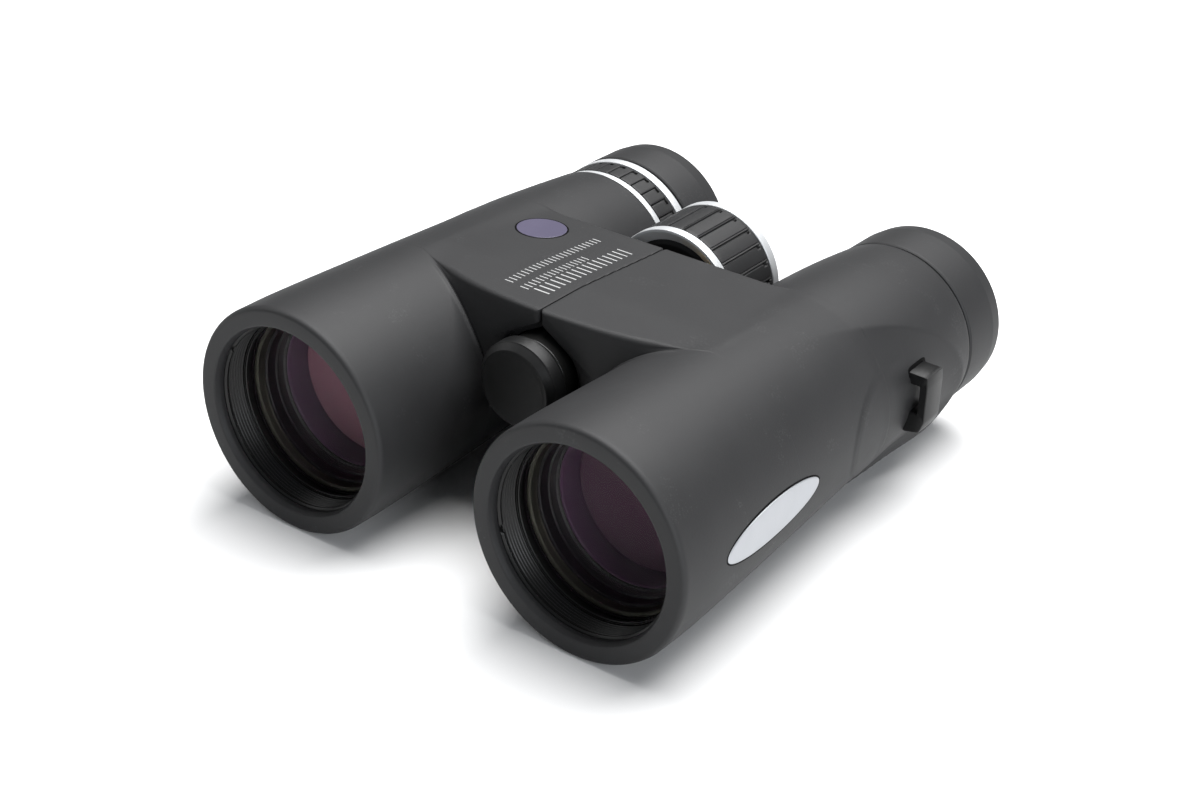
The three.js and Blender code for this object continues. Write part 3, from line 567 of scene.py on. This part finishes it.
# Sleeve in the front of the housing: a chamfered edge with one small notch, then a screw thread
# where the bore's radius goes in and out as a rounded triangle wave along s.
def sleeveGrid(barrel, notchAngle):
    o = objective
    s = np.arange(o["threadTo"], o["threadFrom"], -o["threadPitch"] / 8)
    wave = np.abs((s / o["threadPitch"]) % 1 * 2 - 1)
    inner = np.stack([s, o["sleeveBore"] - o["threadDepth"] * smooth(wave)], 1)
    edge, bore, outer = o["sleeveEdge"], o["sleeveBore"], o["sleeveOuter"]
    front = rounded([[edge + 0.85, bore, 0.05], [edge + 0.75, bore - 0.7, 0.08],
                     [edge + 0.4, bore - 0.7, 0.1], [edge, bore - 0.25, 0.08], [edge, outer, 0.2],
                     [30, outer, 0], [30, bore, 0], [o["threadTo"] + 0.3, bore, 0]])
    outline = np.concatenate([front, inner])
    angles = np.arange(288) * 1.25
    cut = np.abs((angles - notchAngle + 180) % 360 - 180) < o["notchHalf"]
    low = (outline[:, :1] < edge + 0.9) & (outline[:, 1:] < bore - 0.1)
    r = np.where(low & cut[None, :], bore - 0.1, outline[:, 1:])
    side = barrel["side"]
    return around(outline[:, :1], r, angles[None, :], (barrelX, barrelZ), side), True, True, side < 0


def knuckleGrids(name):
    radius, length, bore = housing["knuckleRadius"], housing["knuckleLength"], housing["knuckleBore"]
    edge, gap = housing["chamfer"], housing["gap"]
    frontWasher, rearWasher = span("front_hinge_washer"), span("rear_hinge_washer")
    spans = {"left": [(housing["knuckleFrom"], frontWasher[0] - gap),
                      (rearWasher[1] + gap, rearWasher[1] + gap + length)],
             "right": [(frontWasher[1] + gap, frontWasher[1] + gap + length),
                       (rearWasher[0] - gap - length, rearWasher[0] - gap)]}
    grids = []
    for start, stop in spans[name]:
        outline = rounded([[start, bore, 0], [start, radius, edge], [stop, radius, edge], [stop, bore, 0]])
        grids.append(turnedGrid(outline, (0, hingeZ), 72))
    return grids


# Dark ring at the bottom of the seam between the armour and the eyecup.
def seamRing(name, barrel):
    start, stop = barrel["end"] - 2, span(name + "_eyecup")[0] - 0.1
    if name == "right":
        stop = span("diopter_front_ring")[0] - 0.1
    outline = rounded([[start, 19.6, 0.1], [start, 20.4, 0.1], [stop, 20.4, 0.1], [stop, 19.6, 0.1]])
    return turnedGrid(outline, (barrelX, barrelZ), 128, barrel["side"])


# Lens blank: a dome in front, a shallower curve behind and the rim between them.
def lensOutline(front, dome, thick, sag, radius):
    r = np.linspace(0, 1, 18)
    face = np.stack([front - dome * (1 - r ** 2), r * radius], 1)
    back = np.stack([front + thick - sag * r ** 2, r * radius], 1)[::-1]
    return np.concatenate([face, back])


for name, barrel in barrels.items():
    side, body, axis, o = barrel["side"], name + "_barrel", (barrelX, barrelZ), objective
    grids = [sleeveGrid(barrel, o["notch"][name == "right"]), seamRing(name, barrel)] + knuckleGrids(name)
    piece = meshPiece(name + "Housing", grids, 40)
    show(piece, body, "housing_casting", finishes["black_metal"], name + "_housing")
    ringFrom, ringTo = span(name + "_objective_retainer")
    outline = rounded([[ringTo, o["ringInner"], 0], [ringFrom + 0.6, o["ringInner"], 0.12],
                       [ringFrom + 0.45, 21.1, 0.06], [ringFrom, 21.15, 0.08], [ringFrom, 21.4, 0.1],
                       [ringTo, 21.45, 0]])
    piece = meshPiece(name + "RetainingRing", [turnedGrid(outline, axis, 144, side)])
    show(piece, body, "black_metal", finishes["black_metal"], name + "_objective_retainer")
    glass = lensOutline(o["glassFront"], o["dome"], 0.9, 0.2, 20.9)
    piece = meshPiece(name + "ObjectiveGlass", [turnedGrid(glass, axis, 128, side, False)])
    show(piece, body, "coated_glass", finishes["coated_glass"], name + "_objective_lens")
    start, outer, throat = o["cellFrom"], o["cellOuter"], o["throatFrom"]
    rim = o["rimTo"]
    outline = rounded([[rim, 21.0, 0], [rim, 19.75, 0.08], [rim - 0.4, 19.95, 0.1],
                       [start + 1.5, 20.15, 0.1], [start + 1.2, 20.5, 0.1],
                       [start + 1.1, 20.8, 0.05], [start + 1.1, 21.0, 0]])
    piece = meshPiece(name + "CellRim", [turnedGrid(outline, axis, 144, side)])
    show(piece, body, "black_metal", finishes["oliveRim"])
    outline = rounded([[28, outer, 0.3], [28, 18.6, 0], [throat, 18.6, 0], [throat, 17.95, 0.06],
                       [throat - 0.35, 18.1, 0.08], [throat - 0.6, 18.5, 0.1], [throat - 2.4, 18.7, 0.1],
                       [throat - 2.6, 19.1, 0.1], [rim + 0.4, 19.3, 0.1], [rim + 0.1, 19.7, 0.06],
                       [rim + 0.1, 21.1, 0], [start + 0.9, 21.1, 0], [start + 0.9, outer, 0.1]])
    piece = meshPiece(name + "ObjectiveCell", [turnedGrid(outline, axis, 144, side)], 40)
    show(piece, body, "black_metal", finishes["black_metal"], name + "_objective_cell",
         name + "_objective_seal")
    # Throat band, finished dark violet: a painted reflection of coated glass seen through the objective.
    outline = rounded([[o["throatTo"], 18.5, 0], [o["throatTo"], o["disc"], 0.1],
                       [throat + 0.5, o["throatRadius"] - 0.2, 0.1],
                       [throat + 0.1, o["throatRadius"], 0.06], [throat + 0.1, 18.5, 0]])
    piece = meshPiece(name + "ThroatBand", [turnedGrid(outline, axis, 128, side)])
    show(piece, body, "black_metal", finishes["violetReflectionBand"])
    # Rear element, opaque, in its barrel's painted reflection tint.
    disc = lensOutline(o["discAt"], 1.2, 2, 0, o["disc"] - 0.1)
    piece = meshPiece(name + "RearElement", [turnedGrid(disc, axis, 96, side, False)])
    show(piece, body, "clear_glass", discReflections[name], name + "_objective_rear_lens")
print("objectives made")


for name, barrel in barrels.items():
    side, axis = barrel["side"], (barrelX, barrelZ)
    start, stop = span(name + "_eyecup")
    outer = outerRadius(name + "_eyecup")
    inner = outer - 2.6
    outline = rounded([
        [start, inner, 0], [start, outer - 0.35, 0.2], [start + 0.5, outer, 0.4],
        [stop - 5, outer - 0.15, 2], [stop - 0.9, outer - 0.7, 1.2], [stop, outer - 2.2, 1.2],
        [stop, 17.4, 1.0], [stop - 1.6, 15.2, 1.0], [stop - 4.4, 15.2, 0.3], [stop - 4.4, inner, 0]], 7)
    piece = meshPiece(name + "Eyecup", [turnedGrid(outline, axis, 160, side)])
    show(piece, name + "_eyecup", "grip_rubber", finishes["armour_rubber"], name + "_eyecup")
    start, stop = span(name + "_eyecup_guide")
    outer = outerRadius(name + "_eyecup_guide")
    inner = outer - 1.3
    outline = rounded([[start, inner, 0.2], [start, outer, 0.2], [stop, outer, 0.3], [stop, inner, 0.3]])
    piece = meshPiece(name + "EyecupGuide", [turnedGrid(outline, axis, 128, side)])
    show(piece, name + "_eyecup_guide", "black_plastic", finishes["black_plastic"], name + "_eyecup_guide")
    start, stop = span(name + "_eyepiece_tube")
    tubeOuter = outerRadius(name + "_eyepiece_tube")
    outline = rounded([[start, 14.4, 0], [start, tubeOuter, 0.2], [stop, tubeOuter, 0.4], [stop, 15.2, 0.3],
                       [stop - 1.2, 14.4, 0.3]])
    piece = meshPiece(name + "EyepieceTube", [turnedGrid(outline, axis, 128, side)])
    show(piece, name + "_barrel", "black_metal", finishes["black_metal"], name + "_eyepiece_tube")
    start, stop = span(name + "_eye_lens_retainer")
    outline = rounded([[start, 12.1, 0.1], [start, 14.1, 0.1], [stop, 14.1, 0.2], [stop - 0.9, 12.1, 0.2]])
    piece = meshPiece(name + "EyeLensRing", [turnedGrid(outline, axis, 128, side)])
    show(piece, name + "_barrel", "black_metal", finishes["black_metal"], name + "_eye_lens_retainer")
    start, stop = span(name + "_eye_lens")
    glass = lensOutline(start + 1, 1, stop - start - 1.1, 0.9, 14.1)
    piece = meshPiece(name + "EyeLens", [turnedGrid(glass, axis, 96, side, False)])
    # The eye lens takes the left barrel's dim painted reflection tint.
    show(piece, name + "_barrel", "coated_glass", discReflections["left"], name + "_eye_lens")
print("eyepieces made")


wheel = dict(ribs=24, shift=3.5, gap=0.11, depth=0.6, fineDepth=0.22, columnsPerRib=24,
             hook=0.16, hookWay=-1, hookFrom=0.86, hookTo=0.95)
dioptre = dict(ribs=36, shift=5, gap=0.14, depth=0.5, fineDepth=0, columnsPerRib=18,
               hook=0.38, hookWay=1, hookFrom=0.76, hookTo=0.93)


# Ribbed ring: the radius drops in a narrow groove between ribs, with a shallow line beside it,
# and fades out at the two ends. Near the rear end the groove widens to one side as a notch.
def ribbedGrid(look, start, stop, radius, inner, axis, side=1):
    count = look["ribs"] * look["columnsPerRib"]
    angles = np.arange(count) * 360 / count
    part = ((angles - look["shift"]) * look["ribs"] / 360) % 1 - 0.5
    low, high = look["hookFrom"], look["hookTo"]
    steps = [[0, 0.01, 0.03, 0.06], np.linspace(0.1, low - 0.04, 12), np.linspace(low - 0.01, low + 0.02, 3),
             [(low + high) / 2], np.linspace(high - 0.02, high + 0.01, 3), [0.975, 0.99, 1]]
    share = np.concatenate(steps)[:, None]
    notch = look["hook"] * smooth((share - low) / 0.02) * smooth((high - share) / 0.02)
    reach = look["gap"] / 2 + np.where(part * look["hookWay"] > 0, notch, 0)
    groove = smooth((reach - np.abs(part)) / 0.06)
    fine = np.exp(-(((part + look["hookWay"] * look["gap"] * 1.2) / 0.025) ** 2))
    line = fine * look["fineDepth"] / look["depth"]
    edge = smooth(share / 0.04) * smooth((1 - share) / 0.04)
    r = radius - 0.1 * (1 - edge) - look["depth"] * np.maximum(groove, line) * (0.3 + 0.7 * edge)
    s = np.broadcast_to(start + (stop - start) * share, r.shape)
    s = np.concatenate([s[:1], s, s[-1:]])
    r = np.concatenate([np.full((1, count), inner), r, np.full((1, count), inner)])
    return around(s, r, angles[None, :], axis, side), True, True, side < 0


hingeAxis = (hingeX, hingeZ)
start, stop = span("focus_wheel_grip")
grip = ribbedGrid(wheel, start, stop, wheelRadius - 0.05, wheelRadius - 1.6, hingeAxis)
show(meshPiece("focusGrip", [grip], 40), "focus_wheel", "grip_rubber", finishes["grip_rubber"],
     "focus_wheel_grip")

start, stop = span("focus_wheel_front_ring")
outline = rounded([[stop, 15.0, 0], [start + 1.7, 13.5, 0.1], [start + 1.2, 13.7, 0.15], [start, 15.9, 0.12],
                   [start, 16.5, 0.15], [start + 0.3, wheelRadius, 0.25], [stop - 0.1, wheelRadius, 0.1],
                   [stop, wheelRadius - 0.15, 0]])
show(meshPiece("focusFrontRing", [turnedGrid(outline, hingeAxis, 160)]), "focus_wheel", "satin_chrome",
     finishes["satin_chrome"], "focus_wheel_front_ring")
start, stop = span("focus_wheel_rear_ring")
outline = rounded([[start, 15.0, 0], [start, wheelRadius - 0.15, 0], [start + 0.15, wheelRadius, 0.1],
                   [stop - 0.45, wheelRadius, 0.35], [stop, wheelRadius - 0.9, 0.3], [stop - 0.1, 14.0, 0.3],
                   [stop - 0.7, 13.4, 0.1]])
show(meshPiece("focusRearRing", [turnedGrid(outline, hingeAxis, 160)]), "focus_wheel", "satin_chrome",
     finishes["satin_chrome"], "focus_wheel_rear_ring")

start, stop = span("focus_wheel")
outline = rounded([[start + 0.2, 6.6, 0], [start + 0.2, 12.6, 0.3], [start + 1.2, 14.9, 0.2],
                   [stop - 0.2, 14.9, 0], [stop - 0.2, 13.3, 0.2],
                   [stop - 1.6, 13.2, 0.1], [stop - 1.6, 6.6, 0]])
show(meshPiece("focusWheelCore", [turnedGrid(outline, hingeAxis, 128)]), "focus_wheel", "black_plastic",
     finishes["black_plastic"], "focus_wheel")
start, stop = span("focus_wheel_cap")
outline = rounded([[start, 0, 0], [start, 13.0, 0.1], [stop, 13.0, 0.3], [stop, 11.2, 0.3],
                   [stop - 0.45, 10.6, 0.3], [stop - 0.3, 0, 0]])
piece = meshPiece("focusWheelCap", [turnedGrid(outline, hingeAxis, 128, closed=False)])
show(piece, "focus_wheel", "black_plastic", finishes["black_plastic"], "focus_wheel_cap")

rightAxis = (barrelX, barrelZ)
start, stop = span("diopter_grip")
gripRadius = outerRadius("diopter_grip")
grip = ribbedGrid(dioptre, start, stop, gripRadius - 0.05, gripRadius - 1.5, rightAxis, -1)
show(meshPiece("dioptreGrip", [grip], 40), "diopter_ring", "grip_rubber", finishes["grip_rubber"],
     "diopter_grip")
for label, node in (("Front", "diopter_front_ring"), ("Rear", "diopter_rear_ring")):
    start, stop = span(node)
    radius = outerRadius(node)
    outline = rounded([[start, 19.6, 0], [start, radius, 0.25], [stop, radius, 0.25], [stop, 19.6, 0]])
    piece = meshPiece("dioptre" + label + "Ring", [turnedGrid(outline, rightAxis, 160, -1)])
    show(piece, "diopter_ring", "satin_chrome", finishes["satin_chrome"], node)
start, stop = span("diopter_core")
outline = rounded([[start, 17.3, 0.1], [start, 19.3, 0.1], [stop, 19.3, 0.1], [stop, 17.3, 0.1]])
show(meshPiece("dioptreCore", [turnedGrid(outline, rightAxis, 128, -1)]), "diopter_ring", "black_plastic",
     finishes["black_plastic"], "diopter_core")

cap = dict(faceRadius=8.9, dish=0.15, headLength=5.5, boss=7.2, stem=2.9)
start, stop = span("tripod_cap")
back = start + cap["headLength"]
radius = outerRadius("tripod_cap")
outline = rounded([[start + cap["dish"], 0, 0], [start + cap["dish"] * 0.6, cap["faceRadius"] - 1.2, 0.6],
                   [start, cap["faceRadius"], 0.3], [start + 1.5, radius - 0.35, 0.5],
                   [start + 1.7, radius - 0.1, 0.15], [back - 0.6, radius, 0.6], [back, radius - 0.5, 0.2],
                   [back, cap["boss"] + 0.2, 0.1], [back + 0.9, cap["boss"], 0.3],
                   [back + 0.9, cap["stem"], 0.2], [stop, cap["stem"], 0.4], [stop, 0, 0]], 7)
piece = meshPiece("tripodCap", [turnedGrid(outline, hingeAxis, 144, closed=False)])
show(piece, "tripod_cap", "black_plastic", finishes["black_plastic"], "tripod_cap")
print("wheel, dioptre and cap made")


sideBadge = dict(station=33.8, height=0, size=(37.2, 9.0), roundness=1, rise=0.2, chamfer=0.07)
# Size of the painted shade patch over the top of the strap lug.
lugShadeLook = dict(roundness=0.4, over=0.9, deep=2.6)
# The last width is that of the painted shade ring round the round badge.
roundBadge = dict(radius=5.9, rise=0.12, bed=0.4)
# Each line of marks: from x, to x, from s, to s and how many ticks.
marks = dict(
    lines=[(-15.1, -12.8, 44.6, 77.9, 24), (-10.4, -8.1, 44.1, 67.2, 17), (-7.4, -3.2, 45.1, 77.4, 17)],
    rise=0.03, fill=0.21,
)


# Patch on the side of the armour: q is the share of the way from its middle to its rim, the rim
# is an oval raised to the power of roundness, and the height over the armour follows q.
def patchGrid(barrel, look, shares, heights):
    q, turn = np.array(shares)[:, None], np.radians(np.arange(0, 360, 2.5))[None, :]
    cosine, sine = np.cos(turn), np.sin(turn)
    s = look["station"] + q * look["size"][0] / 2 * np.sign(cosine) * np.abs(cosine) ** look["roundness"]
    rise = look["height"] + q * look["size"][1] / 2 * np.sign(sine) * np.abs(sine) ** look["roundness"]
    under = barrelRadius(s, 0 * s, barrel)
    angle = np.degrees(np.arcsin(rise / under))
    r = barrelRadius(s, angle, barrel) + np.array(heights)[:, None]
    return around(s, r, angle, (barrelX, barrelZ), barrel["side"]), False, True, barrel["side"] > 0


# Shares and heights of a plate with a chamfered rim, closed underneath.
def plateRows(chamfer, rise):
    shares = [0, 0.5, 1, 1, 1 - chamfer * 0.4, 1 - chamfer, 0.99 - chamfer]
    shares += list(np.linspace(0.95 - chamfer, 0, 12))
    return shares, [-0.5, -0.5, -0.5, rise * 0.2, rise * 0.85, rise, rise] + [rise] * 12


for name, barrel in barrels.items():
    b = sideBadge
    piece = meshPiece(name + "SideBadge", [patchGrid(barrel, b, *plateRows(b["chamfer"], b["rise"]))], 14)
    show(piece, name + "_barrel", "silver_badge", finishes["silver_badge"], name + "_side_badge")
    # Painted shade: near-black sheets laid just over the armour, a dark rim round the side badge and a dark
    # crescent over the top of the strap lug.
    low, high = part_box(name + "_strap_lug")
    over, deep = lugShadeLook["over"], lugShadeLook["deep"]
    lugShade = dict(lugShadeLook, station=(low.y + high.y) / 2 / mm - lipY,
                  size=((high.y - low.y) / mm + over, deep), height=high.z / mm - barrelZ + over - deep / 2)
    bed = dict(b, size=(b["size"][0] + 1.2, b["size"][1] + 1.1))
    shares = [0, 0.5, 0.97, 1, 0.99, 0.94, 0.88, 0.82, 0.74, 0.64, 0.5, 0.3, 0]
    grids = [patchGrid(barrel, look, shares, [-0.4] * 3 + [-0.1] + [0.04] * 9) for look in (bed, lugShade)]
    show(meshPiece(name + "Grooves", grids, 60), name + "_barrel", "black_plastic", finishes["shadowGroove"])

low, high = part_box("top_badge")
middle = ((low.x + high.x) / 2 / mm, (low.y + high.y) / 2 / mm - lipY)


# Disc on the bridge: points lie at q times the radius round its middle, on the bridge's slope.
def discGrid(shares, heights, radius):
    q, turn = np.array(shares)[:, None], np.radians(np.arange(0, 360, 4))[None, :]
    x = middle[0] + q * radius * np.cos(turn)
    s = middle[1] + q * radius * np.sin(turn)
    z = barrelZ + wingSurface(x, s) + np.array(heights)[:, None]
    return np.stack([x, lipY + s, z], -1), False, True, True


# Height of the armour above the barrel axes over a point of the right wing.
def wingSurface(x, s):
    inward = barrelX - np.abs(x)
    height = bridgeTop(s)
    for k in range(4):
        angle = 180 - np.degrees(np.arctan2(height, inward))
        bare, wing = barrelRadius(s, angle, barrels["right"]), wingRadius(s, angle, armour["drumRadius"])
        r = softMore(bare, wing, armour["blend"])
        height = r * np.sin(np.radians(angle))
    return height


b = roundBadge
piece = meshPiece("roundBadge", [discGrid(*plateRows(0.03, b["rise"]), b["radius"])], 40)
show(piece, "right_barrel", "round_badge", finishes["round_badge"], "top_badge")
# Painted shade: a near-black ring a little wider than the badge, lying under its rim, as the dark shadow
# line round it.
shadeRimRows = [0, 0.5, 0.98, 1, 0.99, 0.5, 0], [-0.4, -0.4, -0.4, 0, 0.05, 0.05, 0.05]
bed = discGrid(*shadeRimRows, b["radius"] + b["bed"])
show(meshPiece("roundBadgeShadeRim", [bed], 60), "right_barrel", "black_plastic", finishes["shadowGroove"])


# Printed scale: rows of upright ticks, each a thin plate on the bridge's surface.
def tickGrids():
    grids = []
    for fromX, toX, fromS, toS, count in marks["lines"]:
        pitch = (toS - fromS) / count
        for k in range(count):
            x = np.array([fromX, fromX, toX, toX])[None, :]
            s0 = fromS + pitch * k
            s = s0 + pitch * marks["fill"] * np.array([0, 1, 1, 0])[None, :]
            lift = np.array([-0.05, -0.05, marks["rise"], marks["rise"]])[:, None]
            shrink = np.array([0, 1, 1, 0])[:, None]
            xs = x.mean() + (x - x.mean()) * shrink
            ss = s.mean() + (s - s.mean()) * shrink
            z = barrelZ + wingSurface(xs, ss) + lift
            grids.append((np.stack([xs, lipY + ss, z + 0 * xs], -1), False, True, False))
    return grids


piece = meshPiece("printedScale", tickGrids(), 60)
show(piece, "right_barrel", "silver_badge", finishes["greyPrint"])
print("badges and marks made")

lug = dict(bar=2.0, slotWide=2.5, slotTop=2.8, slotLong=7.0, edge=0.3)


# Strap lug: an upright plate with a slot through it along the barrel. Each row of the grid goes
# round its outline, from the edge of the slot over the front to the outside and back behind.
def lugGrid(name, barrel):
    low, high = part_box(name + "_strap_lug")
    foot = min(abs(low.x), abs(high.x)) / mm
    tip = max(abs(low.x), abs(high.x)) / mm
    bottom, top = low.z / mm, high.z / mm
    front, back = low.y / mm, high.y / mm
    slotOut, slotTop = tip - lug["bar"], top - lug["slotTop"]
    slotIn, slotLow = slotOut - lug["slotWide"], slotTop - lug["slotLong"]
    outer = spaced(rounded([[foot, top, 0.2], [tip - 0.25, top - 0.1, 0.4], [tip, top - 2.5, 1.2],
                            [tip - 0.1, bottom + 3.6, 2.0], [tip - 1.3, bottom + 0.7, 1.2],
                            [foot, bottom, 0.2]]), slotIn, slotTop)
    slot = spaced(rounded([[slotIn, slotTop, 0.3], [slotOut, slotTop, 0.3], [slotOut, slotLow, 0.5],
                           [slotIn, slotLow, 0.3]]), slotIn, slotTop)
    edge = lug["edge"]
    q = np.array([0.07, 0.12, 0.88, 0.96, 1, 1, 0.96, 0.88, 0.12, 0.07, 0, 0])[:, None, None]
    outline = slot[None] + (outer - slot)[None] * q
    y = np.array([front, front, front, front + 0.1, front + edge, back - edge, back - 0.1, back, back,
                  back, back - edge, front + edge])[:, None]
    x = barrel["side"] * outline[..., 0]
    return np.stack([x, y + 0 * x, outline[..., 1]], -1), True, True, barrel["side"] < 0


# Points at even angles round a closed outline, as seen from the middle of the slot.
def spaced(outline, slotIn, slotTop):
    middle = np.array([slotIn + lug["slotWide"] / 2, slotTop - lug["slotLong"] / 2])
    away = outline - middle
    bearing = np.degrees(np.arctan2(away[:, 1], away[:, 0])) % 360
    order = np.argsort(bearing)
    want = np.arange(0, 360, 4)
    x = np.interp(want, bearing[order], outline[order, 0], period=360)
    z = np.interp(want, bearing[order], outline[order, 1], period=360)
    return np.stack([x, z], -1)


for name, barrel in barrels.items():
    piece = meshPiece(name + "StrapLug", [lugGrid(name, barrel)], 30)
    show(piece, name + "_barrel", "black_plastic", finishes["black_plastic"], name + "_strap_lug")
print("lugs made")


studio = dict(cameraAt=(0.26655, -0.37377, 0.26978), azimuth=36.15, elevation=28.9, roll=1.63, lens=68.06,
              floorTone=(0.68, 0.68, 0.68), worldTone=(0.9, 0.95, 1.0), worldStrength=0.15)


def pointCamera():
    azimuth, elevation, roll = (math.radians(studio[k]) for k in ("azimuth", "elevation", "roll"))
    flat = math.cos(elevation)
    back = Vector((math.sin(azimuth) * flat, -math.cos(azimuth) * flat, math.sin(elevation)))
    level = Vector((math.cos(azimuth), math.sin(azimuth), 0))
    right = level * math.cos(roll) + back.cross(level) * math.sin(roll)
    up = back.cross(right)
    camera = bpy.data.objects.new("camera", bpy.data.cameras.new("camera"))
    camera.data.lens, camera.data.sensor_width = studio["lens"], 36
    turn = Matrix((right, up, back)).transposed().to_4x4()
    camera.matrix_world = Matrix.Translation(studio["cameraAt"]) @ turn
    camera.data.clip_start = 0.01
    bpy.context.scene.collection.objects.link(camera)
    bpy.context.scene.camera = camera


def softLight(name, place, aim, size, power, colour=(1, 1, 1)):
    light = bpy.data.lights.new(name, "AREA")
    light.shape, light.size, light.size_y = "RECTANGLE", size[0], size[1]
    light.energy, light.color = power, colour
    made = bpy.data.objects.new(name, light)
    made.location = place
    made.rotation_euler = (Vector(aim) - Vector(place)).to_track_quat("-Z", "Y").to_euler()
    bpy.context.scene.collection.objects.link(made)


def setStage():
    scene = bpy.context.scene
    scene.view_settings.view_transform = "Standard"
    floorMesh = bpy.data.meshes.new("floor")
    reach = 6.0
    corners = [(-reach, -reach, 0), (reach, -reach, 0), (reach, reach, 0), (-reach, reach, 0)]
    floorMesh.from_pydata(corners, [], [(0, 1, 2, 3)])
    floor = bpy.data.objects.new("floor", floorMesh)
    paint = Finish("palePaper", {"Specular IOR Level": 0.1})
    tone = paint.noise(400, 2)
    paint.feed(Base_Color=paint.mix(tone, studio["floorTone"], tuple(c * 1.02 for c in studio["floorTone"])),
               Roughness=0.85 + tone * 0.1)
    floorMesh.materials.append(paint.material)
    scene.collection.objects.link(floor)
    world = bpy.data.worlds.new("studio")
    world.use_nodes = True
    sky = world.node_tree.nodes["Background"]
    sky.inputs["Color"].default_value = (*studio["worldTone"], 1)
    sky.inputs["Strength"].default_value = studio["worldStrength"]
    scene.world = world
    softLight("topBox", (0.06, 0.33, 1.1), (0, 0, 0), (1.2, 1.0), 40)
    softLight("leftBox", (-1.0, -0.3, 0.7), (0, 0, 0.02), (0.7, 0.7), 2.5)
    softLight("rightBox", (1.0, -0.5, 0.36), (0, 0, 0.02), (0.6, 0.7), 8.5, (0.93, 0.96, 1.0))


pointCamera()
setStage()
print("camera and light placed")
